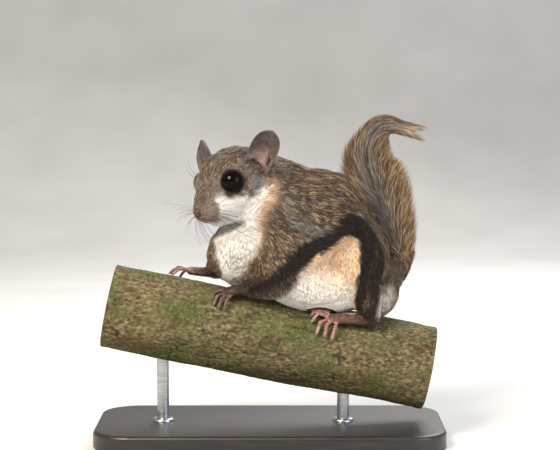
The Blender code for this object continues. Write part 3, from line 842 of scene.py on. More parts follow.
# The edge of the pale underside, and the way to the dark upper side: on the head as forward,
# left, up, then on the body as x, y, z
HEAD_EDGE = (
    (18.9, 0, -8, 0.4, 0, 1), (16.4, 2.6, -9, 0.2, 0, 1), (14.2, 3.8, -10, 0.6, 0.2, 0.8),
    (13.2, 5.3, -7.5, 1, 0.1, 0.2), (12.7, 6.3, -4, 1, 0.1, 0.1), (12.3, 6.6, -1.6, 0.8, 0.1, 0.6),
    (11.2, 8.5, -1.8, 0.3, 0.2, 0.95), (8.5, 10.7, -3.6, 0.1, 0.2, 1), (5, 12.3, -5, 0, 0.2, 1),
    (0, 12.6, -6.8, 0, 0.2, 1), (-4.2, 13.5, -7.8, -0.1, 0.2, 1), (-8, 14.6, -8.6, -0.4, 0.2, 0.9),
)
NECK_EDGE_NEAR = (
    (0.8, -15.2, 104, 0.7, -0.2, 0.7), (-0.2, -16, 101, 1, -0.2, 0.2), (-2.6, -16.9, 97.7, 0.9, -0.3, 0.3),
    (-4.1, -17.8, 94.9, 0.9, -0.4, 0.1), (-4.2, -18.8, 91.6, 0.9, -0.4, 0),
    (-4.1, -19.3, 88.3, 0.9, -0.4, 0.1), (-3.7, -19.6, 85.1, 0.9, -0.4, 0.2),
    (-5.5, -18.8, 79.4, 0.8, -0.5, 0.2), (-8.7, -16.3, 74.3, 0.8, -0.5, 0.3),
    (-9.7, -14.3, 71, 0.7, -0.6, 0.3), (-12.9, -9.9, 66.5, 0.6, -0.7, 0.3), (-16, -9, 63.5, 0, -1, 0.4),
)
NECK_EDGE_FAR = (
    (-18.8, 9.7, 100.5, 0, 0.4, 0.9), (-19, 6, 95, -0.3, 0.85, 0.4), (-20.8, -2, 89.5, -0.6, 0.8, 0.1),
    (-22.2, -9.5, 84.5, -0.8, 0.6, 0), (-21.6, -12.3, 79.5, -0.8, 0.6, 0),
    (-20.6, -12.8, 74.5, -0.8, 0.6, 0), (-19.2, -11.5, 69.5, -0.8, 0.5, 0.1),
    (-20, -7.5, 65, -0.7, 0.6, 0.3),
)
LIP_NEAR = (
    (-9, -15.5, 59.4, 0, -0.3, 1), (-2.5, -17.5, 58.9, 0, -0.3, 1), (3.5, -19, 59.4, -0.1, -0.3, 1),
    (7.6, -20, 62.4, -0.7, -0.2, 0.6), (9.4, -20.8, 66.8, -0.9, -0.1, 0.4),
    (10.8, -20.8, 70.1, -0.7, -0.1, 0.6), (13.8, -20.4, 72.6, -0.6, -0.1, 0.7),
    (19.5, -20.9, 77.8, -0.6, -0.1, 0.7), (23.3, -20.6, 80.9, -0.5, -0.1, 0.8),
    (27.1, -19.9, 83.5, -0.4, -0.1, 0.9), (30.2, -18.8, 84.6, 0.1, -0.1, 1),
    (33.6, -16.5, 83.4, 0.7, -0.1, 0.7), (35.4, -17.2, 78.8, 1, -0.1, 0.1), (35.8, -19, 73.1, 1, 0, 0),
    (34.9, -19.8, 69.1, 1, 0, 0), (34.4, -19.5, 65, 1, 0, 0), (34.1, -17.7, 59.2, 1, -0.1, 0),
    (34, -15, 54, 1, -0.3, 0),
)
LIP_FAR = (
    (-21, 9, 65, 0, 0.3, 1), (-12, 14, 67, -0.2, 0.3, 1), (-2, 20, 71.5, -0.4, 0.2, 0.9),
    (8, 24, 78, -0.6, 0.1, 0.75), (16, 26, 84, -0.5, 0.1, 0.8), (22, 26.5, 85, 0.1, 0.1, 1),
    (25, 26, 79, 1, 0.1, 0.1), (24, 24, 71, 1, 0.1, 0), (25, 22, 63, 1, 0.1, 0), (27, 18, 55, 1, 0.2, 0),
)
# The dark band over the folded membrane: x, y, z of its middle and its half width
BAND_NEAR = (
    (-7, -18, 63.5, 1.8), (0.1, -20.5, 67.2, 2.4), (6.1, -21, 72.1, 3), (11.6, -20.4, 76.5, 3.5),
    (19.5, -20.8, 82.8, 3.7), (27.2, -19, 87.2, 3.8), (32, -17.2, 89.5, 5.2), (36.6, -15.4, 87.4, 4.6),
    (39.2, -15.4, 81.1, 3.4), (38.6, -18.7, 73.4, 2.6), (37, -19.3, 65.4, 2.4), (35.8, -17.8, 57.2, 2),
)
BAND_FAR = (
    (-14, 12, 71, 2.6), (-4, 18, 76, 3.6), (8, 23, 84, 4.2), (18, 26, 91, 5), (26, 27, 91, 5.4),
    (30, 27, 84, 4.6), (30, 26, 77, 3.8), (29, 25, 70, 3.2), (31, 22, 62, 3), (32, 18, 55, 2.5),
)
# Limbs whose coat is nearly as dark as the band: x, y, z, radius, and the band's share
DARK_LIMBS = (
    (((8, -20, 70, 4), (1, -19, 66, 4), (-8, -14.5, 63.5, 5)), 0.66),
    (((43, -14, 86, 4), (43, -14, 72, 9), (43, -12, 60, 9), (40, -13, 52, 7)), 0.78),
    (((34, 24, 86, 5), (34, 22, 70, 9), (32, 18, 55, 7)), 0.75),
    (((-19, 9.5, 79, 3), (-23, 8.5, 71, 4.5)), 0.55),
)


def both_sides(rows: Rows) -> Array:
    """Head rows of places and directions, with their mirror images, in the model's frame."""
    rows = np.array(rows, float)
    rows = np.vstack([rows, rows * np.tile(MIRROR, 2)])
    return np.hstack([HEAD.place(rows[:, :3]), unit(HEAD.turn(rows[:, 3:6]))])


def densely(rows: Rows | Array) -> Array:
    """Rows joined by a smooth curve with four spans between neighbours."""
    return through(rows, 4)


def nearest_share(points: Array, rows: Array) -> tuple[Array, Array]:
    """Distance from each point to the closest of rows of x, y, z, and that row's number."""
    best = np.full(len(points), 1e9)
    which = np.zeros(len(points), int)
    for k, row in enumerate(rows):
        far = np.sum((points - row[:3]) ** 2, axis=1)
        closer = far < best
        best[closer] = far[closer]
        which[closer] = k
    return np.sqrt(best), which


def under_share(points: Array, rows: Array) -> Array:
    """Distance from each point to the closest of rows, where height above a row counts for more."""
    best = np.full(len(points), 1e9)
    for row in rows:
        away = points - row[:3]
        away[:, 2] += 1.5 * most(away[:, 2] - 1.2, 0)
        best = np.minimum(best, dot(away, away))
    return np.sqrt(best)


def blot(points: Array, centre: tuple[float, ...], inner: float, outer: float) -> Array:
    """1 near a place, falling softly to 0 between two distances from it."""
    return fade(inner, outer, norms(points - np.array(centre)))


class Markings:
    """Shares of each pigment anywhere on the coat.

    The pale underside's edge is a signed distance: each point of the edge says how far a place
    lies to its dark side, and nearer points count for more.
    """

    def __init__(self) -> None:
        """Makes the edge's points from its rows."""
        head = both_sides(HEAD_EDGE)
        near = np.vstack([densely(NECK_EDGE_NEAR), densely(LIP_NEAR)])
        far = np.vstack([densely(NECK_EDGE_FAR), densely(LIP_FAR)])
        self.edge = np.vstack([head, near, far])
        self.edge[:, 3:] = unit(self.edge[:, 3:])
        self.lips = np.vstack([densely(LIP_NEAR[4:]), densely(LIP_FAR)])
        self.fringe = densely(LIP_NEAR[1:5])
        # The line just under the membrane's overhanging edge, where a thin tan line of painted shade is
        # drawn
        self.fold = densely(LIP_NEAR[6:12])[:, :3] + np.array([1.2, 0.0, -1.5])
        self.buff_line = densely(NECK_EDGE_NEAR[:9])
        self.buff_line_far = densely(NECK_EDGE_FAR[:4])

    def dorsal(self, points: Array) -> Array:
        """Roughly how far each point lies on the dark side of the edge."""
        total, weight = np.zeros(len(points)), np.zeros(len(points))
        for row in self.edge:
            away = points - row[:3]
            w = 1 / (dot(away, away) + 0.6) ** 2
            total += w * (away @ row[3:])
            weight += w
        return total / weight

    def on_paws(self, points: Array) -> Array:
        """1 on hands and feet, falling softly to 0 at wrist and ankle."""
        best = np.full(len(points), 1e9)
        for paw in PAWS.values():
            rows = np.vstack([through(paw.palm, 6)[:, :3]] + [through(toe, 3) for toe in paw.toes])
            best = np.minimum(best, under_share(points, rows))
        return fade(3, 3.9, best)

    def at(self, points: Array) -> dict[str, Array]:
        """The shares of pale, band, buff, grey, rufous and pink, each from 0 to 1.

        Args:
            points: Places on the skin.

        Returns:
            One array for each name.
        """
        local = HEAD.local(points)
        side = np.abs(local[:, 1])
        twin = np.stack([local[:, 0], side, local[:, 2]], axis=1)
        on_head = ramp(-16, -9, local[:, 0]) * ramp(92, 96, points[:, 2] - 0.35 * local[:, 0])
        wobble = 0.55 * noise(points, 1.6, 3) + 0.4 * noise(points, 4.5, 4)
        head = fade(23, 27, norms(local))
        level = mix(-5.2, 1.5, ramp(-1, 6, local[:, 0]))
        sure = np.minimum(local[:, 2] - level, 4) * head - 6 * (1 - head)
        sure = most(sure, np.minimum(points[:, 2] - 1.6 * np.abs(points[:, 0] - 20) - 76, 4))
        edge = most(self.dorsal(points), sure) + wobble
        paw = self.on_paws(points)
        pale = fade(-0.9, 0.8, edge) * (1 - paw)

        band = np.zeros(len(points))
        for rows in (BAND_NEAR, BAND_FAR):
            rows = densely(rows)
            far, which = nearest_share(points, rows)
            half = rows[which, 3]
            band = most(band, fade(half - 1.2, half + 1.6, far + wobble))
        band *= ramp(-0.2, 0.7, edge)
        for rows, full in DARK_LIMBS:
            far, which = nearest_share(points, densely(rows))
            reach = densely(rows)[which, 3]
            band = most(band, full * fade(0.6 * reach, 1.3 * reach, far) * ramp(0, 1, edge))
        band = most(band, 0.75 * paw)
        band = most(band, 0.32 * blot(points, (9, -13, 110), 2, 8))

        rump = blot(points, (48, 1, 55.5), 5, 10)
        rump = most(rump, blot(points, (49.5, 3, 61.5), 1.5, 5))
        rump = most(rump, blot(points, (46.5, -11, 56.5), 4, 8))
        to_fringe, _ = nearest_share(points, self.fringe)
        fringe = fade(0.5, 1.5, to_fringe + 0.4 * wobble)
        pale = most(pale, most(0.95 * rump, 0.85 * fringe))
        band *= 1 - most(rump, fringe)

        to_lip, _ = nearest_share(points, self.lips)
        lip = fade(1.2, 3.4, to_lip) * fade(-0.6, 0.6, edge)
        to_line, _ = nearest_share(points, self.buff_line)
        to_far_line, _ = nearest_share(points, self.buff_line_far)
        height = ramp(76, 94, points[:, 2])
        seam = bell((edge + 0.1) / (0.8 + 0.9 * height))
        line = seam * fade(2, 5, np.minimum(to_line, to_far_line)) * (0.24 + 0.26 * height)
        window = blot(points, (27, -17, 79), 5, 21) * 0.78 * pale
        window += blot(points, (18, 24, 78), 4, 12) * 0.5 * pale
        collar = blot(twin, (-10, 14, -3), 1.5, 5) * 0.25
        buff = np.clip(0.35 * lip + line + window + collar + 0.26 * rump, 0, 1)

        grey = 0.45 * blot(twin, (-4, 13, 2), 2, 6.5)
        grey = most(grey, 0.8 * blot(twin, (-4.5, 13.4, -4.4), 3, 6.5))
        # Painted light: grey lightens a patch on the rump's right, where the coat lies in shade.
        grey = most(grey, 0.4 * blot(points, (51, 8, 66), 4, 12))
        silver, _ = nearest_share(points, through(((9, -18.5, 91), (16, -18.9, 87), (24, -20, 84)), 6))
        grey = most(grey, 0.52 * fade(1.5, 6.5, silver + 2.5 * noise(points, 2.2, 8)))
        grey = most(grey, 0.35 * blot(points, (6, -15, 99), 2, 9))

        rufous = ramp(96, 106, points[:, 2]) * ramp(-2, 16, points[:, 0]) * 0.5
        rufous = most(rufous, 0.5 * blot(points, (43, -6, 86), 6, 16))
        rufous *= 0.6 + 0.4 * noise(points, 5, 9)
        rufous = most(rufous, 2 * line)
        pale = pale * (1 - 0.7 * line)
        # Painted shade: a thin tan line under the membrane's overhanging edge, less pale and more rufous.
        fold = bell(nearest_share(points, self.fold)[0] / 0.5) * pale
        pale = pale * (1 - 0.45 * fold)
        rufous = most(rufous, fold)
        # Painted light: rufous lightens the same shaded patch on the rump's right.
        rufous = most(rufous, 0.7 * blot(points, (51, 8, 68), 4, 13))

        ring, halo = np.zeros(len(points)), np.zeros(len(points))
        for eye in EYES:
            distance, angle = eye.bearing(points)
            close = fade(6.5, 8.5, distance)
            under = 0.08 * fade(-4, 0, local[:, 2]) + 0.05 * fade(-2, 3, local[:, 0])
            ring += close * fade(1.08, 1.24, angle - under)
            glow = ramp(1.18, 1.3, angle) * fade(1.42, 1.64, angle)
            halo += fade(7.6, 9.5, distance) * glow
        halo *= ramp(-3, 2, local[:, 2]) * ramp(-3, 3, local[:, 0])
        grey = most(grey, 0.28 * head)
        grey = most(grey, 0.62 * halo) * (1 - ring)
        band = most(band * (1 - on_head), 0.92 * ring)
        pale *= 1 - ring
        muzzle = norms((twin - np.array([15.4, 3.0, -8.2])) / np.array([5.2, 4.8, 4.6]))
        pink = 0.75 * fade(0.5, 1.2, muzzle + 0.12 * noise(points, 0.9, 12))
        pale *= 1 - 0.9 * pink
        band = most(band, 0.55 * blot(twin, (9.2, 7.6, -1.6), 0.5, 2))
        band = most(band, 0.3 * blot(twin, (15.5, 1.5, -1), 1, 4))
        return {
            "pale": np.clip(pale, 0, 1),
            "band": np.clip(band, 0, 1),
            "buff": buff,
            "grey": np.clip(grey, 0, 1),
            "rufous": np.clip(rufous, 0, 1),
            "pink": np.clip(pink, 0, 1),
        }


# The coat's length, depth and lie

# Head seats: forward, side, up, then hair length, coat depth, tuft width and tufts a square mm
HEAD_SEATS = (
    (17.5, 1.5, -4, 0.8, 0.18, 0.11, 11), (15, 4, -7.5, 1, 0.22, 0.11, 11),
    (12.5, 1, 1.5, 1.5, 0.35, 0.13, 12), (11, 7, -1, 1.4, 0.35, 0.13, 12), (7, 9.5, 7, 1.5, 0.4, 0.14, 12),
    (-1, 12.5, 4, 1.9, 0.5, 0.15, 12), (3, 2, 12.5, 2.4, 0.7, 0.17, 11), (-7, 3, 14, 3.2, 1, 0.19, 10),
    (0, 13.5, -5, 3, 0.8, 0.18, 10), (8, 6.5, -10.5, 1.9, 0.5, 0.15, 10), (14.5, 1, -11, 1, 0.25, 0.12, 10),
    (-13, 12.5, 2, 3.8, 1.2, 0.21, 9),
)
# Body seats: x, y, z, then the same
BODY_SEATS = (
    (-6, -3, 116, 4.6, 1.6, 0.21, 8.5), (-2, -15, 101, 4.6, 1.5, 0.21, 9),
    (5, -17, 93, 5.2, 1.8, 0.22, 8.5), (20, -20, 89, 6.2, 2, 0.24, 8), (14, -2, 111, 6.6, 2.1, 0.25, 7.5),
    (14, 20, 96, 6.4, 2, 0.25, 7), (0, 14, 96, 5.6, 1.8, 0.24, 7), (38, -4, 95, 6.6, 2, 0.25, 7.5),
    (38, 16, 90, 6.6, 2, 0.26, 7), (47, 2, 78, 6, 1.9, 0.24, 7.5), (50, 4, 60, 5.2, 2, 0.23, 8),
    (-13, -13, 84, 4.6, 0.7, 0.22, 8.5), (-17, -6, 72, 4, 0.6, 0.21, 8), (20, -14, 66, 3.8, 0.5, 0.22, 8.5),
    (20, 18, 66, 3.8, 0.5, 0.23, 6), (10, 0, 58, 3.4, 0.7, 0.21, 4.5), (2, -20, 76, 4, 1.1, 0.19, 9),
    (-4, -18, 64, 2.2, 0.7, 0.16, 10), (-18, 9, 80, 3.4, 1, 0.19, 8), (-22, 7, 72, 2.4, 0.8, 0.17, 8.5),
    (14, -20.5, 77, 2.6, 0.9, 0.17, 9.5), (28, -19.5, 87, 3.2, 1.1, 0.19, 9.5),
    (38.5, -17.5, 74, 3.6, 1.1, 0.19, 9.5), (42, -12, 66, 4.4, 1.3, 0.21, 8.5),
    (41, -15, 54, 2.4, 0.8, 0.17, 9.5), (36, 22, 74, 4.4, 1.3, 0.22, 7), (31, 19, 57, 2.6, 0.8, 0.18, 8),
)
PAW_SEATS = (
    (36, -13.5, 51.5, 1.1, 0.3, 0.13, 9), (27, -13, 52.5, 0.9, 0.2, 0.12, 8),
    (-13, -13.5, 64.5, 1, 0.25, 0.13, 9), (26, 13.5, 53.5, 1.1, 0.3, 0.13, 8),
    (17, 13.5, 54.5, 0.9, 0.2, 0.12, 8), (-28, 6.5, 69.5, 0.9, 0.2, 0.12, 8),
    (-20.5, -13, 60.5, 0.55, 0.09, 0.08, 9), (-37, 4, 69.5, 0.55, 0.09, 0.08, 9),
    (21, -14, 51.5, 0.6, 0.1, 0.09, 8), (10, 14, 54, 0.6, 0.1, 0.09, 8),
)
# Lines along which the coat lies, from front to back: on the head as forward, side, up
HEAD_LINES = (
    ((18.5, 0, -3.6), (13, 0, 1.5), (7, 0, 8), (0, 0, 13), (-8, 0, 14), (-17, 0, 12)),
    ((17.5, 3, -4.6), (12.5, 5.5, 0), (8, 7.5, 6.5), (1, 9.5, 9.5), (-7, 9.5, 10), (-16, 9, 9)),
    ((16.5, 3.8, -6), (12, 7, -3.2), (8, 10, -4), (1, 13.2, -4.6), (-7, 13.8, -4.6), (-14, 13, -6)),
    ((16.5, 2.4, -8.6), (11, 5.5, -9.8), (3, 8.5, -12.2), (-6, 9.5, -13), (-13, 9, -13.5)),
    ((10, 9, -0.5), (6.5, 12, -2.5), (1, 13.4, -1), (-4, 13.6, 2.5), (-12, 13.2, 3)),
)
BODY_LINES = (
    ((-8, -3, 116.5), (2, 0, 115), (15, 0, 111.5), (28, 1, 105), (38, 2, 96)),
    ((38, 2, 96), (45, 3, 84), (49, 3, 72), (51, 3, 62), (50, 3, 54)),
    ((-4, -12, 108), (5, -15, 103), (17, -16, 98), (28, -15, 94), (38, -12, 91)),
    ((-1, -16, 100), (6, -17.5, 94), (15, -19, 88), (24, -20, 84)),
    ((-2, -18, 91), (4, -18, 84), (10, -19, 76.5), (14, -20, 71.5)),
    ((-5, -17.5, 80), (-1, -19, 72), (3, -20, 65)), ((-3, -17.5, 74), (-7, -16.5, 67), (-13, -14.5, 63.5)),
    ((8, -20, 77), (14, -20.6, 74.5), (20, -20.9, 76)), ((22, -19.5, 88), (28, -19.5, 85), (31, -18.5, 83)),
    ((32, -14, 92), (38, -14, 88), (41, -14, 79), (41.5, -15, 68), (42, -14, 56)),
    ((37.5, -15, 84), (38, -18, 74), (37, -19, 65), (38, -16, 54)),
    ((42, -13, 54), (37, -13.5, 50.8), (29, -13.5, 51.5), (20, -13.5, 53)),
    ((-13, -16, 96), (-12, -16, 86), (-14, -13, 76), (-16, -9, 68)),
    ((-20, -6, 92), (-19, -8, 82), (-20, -4, 72)), ((16, -18, 72), (20, -17, 66), (24, -14, 59)),
    ((27, -18, 80), (28, -17.5, 70), (29, -15, 60)),
    ((-12, -4, 62), (5, -3, 58.5), (25, -2, 55), (42, 4, 52)),
    ((-16, 9, 92), (-18, 10, 84), (-20, 9.5, 77), (-24, 8.5, 70), (-31, 6.5, 69.5)),
    ((-10, 13, 106), (2, 16, 101), (16, 22, 94), (28, 25, 87)), ((0, 18, 86), (8, 23, 82), (14, 25.5, 81)),
    ((30, 22, 94), (37, 24, 84), (38, 24, 74), (35, 22, 63), (33, 17, 53)),
    ((33, 16, 52), (26, 14.5, 53), (16, 14, 55), (8, 14, 56.5)), ((14, 22, 74), (18, 20, 66), (20, 16, 58)),
)


class Lie:
    """Length, depth, width, density and direction of the coat, blended between seats and lines."""

    def __init__(self) -> None:
        """Brings the head's rows into the model's frame, on both sides."""
        head = np.array(HEAD_SEATS)
        head = np.vstack([head, head * np.concatenate([MIRROR, np.ones(4)])])
        head[:, :3] = HEAD.place(head[:, :3])
        self.seats = np.vstack([head, np.array(BODY_SEATS), np.array(PAW_SEATS)])
        lines = [HEAD.place(np.array(line) * turn) for line in HEAD_LINES for turn in (np.ones(3), MIRROR)]
        lines += [np.array(line, float) for line in BODY_LINES]
        lines = [through(line, 4) for line in lines]
        self.middles = np.vstack([(line[1:] + line[:-1]) / 2 for line in lines])
        self.ways = np.vstack([unit(line[1:] - line[:-1]) for line in lines])

    def sizes(self, points: Array) -> Array:
        """Hair length, coat depth, tuft width and density, weighted by distance^-5 to the seats.

        Args:
            points: Places on the skin.

        Returns:
            Four columns.
        """
        total, weight = np.zeros((len(points), 4)), np.zeros(len(points))
        for seat in self.seats:
            w = (np.sum((points - seat[:3]) ** 2, axis=1) + 0.5) ** -2.5
            total += w[:, None] * seat[3:]
            weight += w
        return total / weight[:, None]

    def direction(self, points: Array, normals: Array) -> Array:
        """The way the coat lies, weighted by distance^-4 to the lines, laid flat on the skin.

        Args:
            points: Places on the skin.
            normals: The skin's normals there.

        Returns:
            Unit vectors.
        """
        total = np.zeros_like(points)
        for middle, way in zip(self.middles, self.ways):
            w = (np.sum((points - middle) ** 2, axis=1) + 0.8) ** -2
            total += w[:, None] * way
        return unit(total - normals * dot(total, normals)[:, None])


# The branch

BRANCH_SLOPE = 0.2
SLOPE_LENGTH = math.hypot(1, BRANCH_SLOPE)
BRANCH_HEIGHT = 41.4
BRANCH_RADIUS = 17
BRANCH_BEND = 0.8
BRANCH_ENDS = (-66, 65)


def branch_axis(x: Array) -> Array:
    """The branch's middle line: it falls by its slope along x and bends a little sideways."""
    return np.stack([x, BRANCH_BEND * np.sin(x / 30), BRANCH_HEIGHT - BRANCH_SLOPE * x], axis=-1)


def branch_lumps(x: Array, a: Array) -> Array:
    """How far the bark stands off a plain log: three broad swells round it and seven small ones."""
    return 0.35 * np.sin(3 * a + x / 19) + 0.25 * np.sin(7 * a - x / 11)


def off_branch(points: Array, clearance: float) -> Array:
    """Points pushed out of the branch, straight away from its middle line.

    Args:
        points: Places near the branch.
        clearance: The least height over the bark.

    Returns:
        The places, moved where they were too deep.
    """
    middle = branch_axis(points[:, 0])
    away = points - middle
    along = np.array([1.0, 0.0, -BRANCH_SLOPE]) / SLOPE_LENGTH
    away = away - along * (away @ along)[:, None]
    far = norms(away)
    rise = (away[:, 2] + away[:, 0] * -BRANCH_SLOPE) / SLOPE_LENGTH
    a = np.arctan2(rise, -away[:, 1])
    need = BRANCH_RADIUS + branch_lumps(points[:, 0], a) + clearance
    lift = np.maximum(need - far, 0)
    return points + away / np.maximum(far, 1e-6)[:, None] * lift[:, None]


# Paws


@dataclass(frozen=True)
class Paw:
    """A hand or foot: the path of its palm, and for each toe its root, knuckle and tip."""

    palm: Rows
    toes: tuple[Rows, ...]
    toe_radius: float


PAWS = {
    "hand_left": Paw(
        ((-9, -13.2, 62.9, 2.7, 2.4), (-14, -12.4, 62.5, 3.3, 2.1), (-17.6, -12, 61.4, 3.3, 1.7)),
        (
            ((-17.4, -9.8, 61.9), (-20.9, -9.9, 61.9), (-23.4, -10.9, 60.2)),
            ((-17.8, -11.4, 61.4), (-20.9, -12.7, 60.3), (-22.4, -14.7, 57.2)),
            ((-17.2, -12.8, 60.7), (-19.5, -14.6, 59.1), (-20.4, -16.1, 56.2)),
            ((-15.8, -13.9, 60.4), (-17.3, -15.6, 58.8), (-17.9, -16.7, 56.2)),
        ),
        0.8,
    ),
    "hand_right": Paw(
        ((-24, 7, 67.6, 2.4, 2.2), (-29, 6, 67.9, 2.8, 1.8), (-33, 5, 68.4, 3, 1.6)),
        (
            ((-32.2, 2.8, 68.4), (-36.6, 0.8, 69.7), (-39.6, -0.6, 67.8)),
            ((-33.2, 4.2, 68.8), (-37.6, 3.4, 70.1), (-41, 3, 67.8)),
            ((-33.2, 5.8, 68.5), (-37.2, 6.8, 69.5), (-40.4, 7.6, 66.8)),
            ((-32, 7.2, 67.9), (-35, 9.6, 68.2), (-37.6, 11.2, 65)),
        ),
        0.8,
    ),
    "foot_left": Paw(
        ((41.5, -12.2, 50, 2.6, 2.5), (33, -12.6, 50.9, 2.9, 2.2), (25, -13.2, 51.1, 3.2, 1.9)),
        (
            ((24.3, -11, 52), (20, -10.6, 54.7), (17, -11.4, 52.4)),
            ((23.6, -12.3, 51.5), (19.6, -12.6, 53.2), (17, -13.8, 50)),
            ((23.4, -13.5, 50.6), (20.4, -15.4, 50), (18.8, -17.2, 45.6)),
            ((24.6, -14.5, 50), (22.8, -16.7, 48.8), (22, -17.9, 44.4)),
            ((26.8, -15, 49.6), (26.2, -17, 48), (25, -17.9, 43.8)),
        ),
        0.88,
    ),
    "foot_right": Paw(
        ((31, 14, 51.4, 2.6, 2.5), (22, 13.4, 52.3, 2.9, 2.2), (14, 13.2, 53.3, 3.2, 1.9)),
        (
            ((13.3, 10.9, 54.4), (9, 9.8, 57.1), (5.8, 9.8, 56.4)),
            ((12.8, 12.3, 53.6), (8.4, 12.6, 55.7), (5.4, 13.6, 53.6)),
            ((12.8, 13.7, 52.8), (8.8, 15.2, 53.6), (6.4, 16.8, 49.8)),
            ((13.8, 14.9, 51.8), (10.6, 17.2, 51.6), (9.2, 18.1, 47.6)),
            ((15.6, 15.7, 51.2), (13.6, 18, 50), (12.6, 18.3, 46.2)),
        ),
        0.88,
    ),
}
TOE_FACE = (0.3, 1, 0.2)


def toe_shape(toe: Rows, radius: float) -> Shape:
    """A digit bent over the bark: thick at its root, knuckle and tip pad, thinner between.

    Args:
        toe: Its root, knuckle and tip.
        radius: Its half width at the root.

    Returns:
        A closed tube.
    """
    root, knuckle, tip = (np.array(p, float) for p in toe)
    last = mix(knuckle, tip, 0.55) + np.array([0.0, 0.0, 0.25])
    rows = (
        (*root, radius * 1, radius * 0.95),
        (*mix(root, knuckle, 0.5), radius * 0.82, radius * 0.8),
        (*knuckle, radius * 0.98, radius * 1),
        (*mix(knuckle, last, 0.6), radius * 0.74, radius * 0.74),
        (*last, radius * 0.84, radius * 0.86),
        (*tip, radius * 0.86, radius * 0.8),
    )
    return tube(*domed(rows, 3), face=TOE_FACE, around=12)


# Tail core

TAIL = (
    (47, 12.5, 59, 4.5, 4.5), (51.5, 14.5, 66, 6, 4.8), (53, 16.5, 76, 8.8, 5), (50.5, 18, 87, 13, 5.2),
    (46.5, 19, 97.5, 16.2, 5.4), (43, 19, 106, 17.2, 5.4), (41.2, 18.5, 114.5, 14.2, 5.2),
    (42.8, 18, 122, 9.4, 4.8), (45.8, 17.5, 126.6, 6.6, 4.4), (49.5, 17, 128.2, 4.8, 3.6),
    (53, 16.5, 127.4, 3.2, 2.4),
)
TAIL_FACE = (-0.5, -0.86, 0.05)
TAIL_CORE_STOP = 7


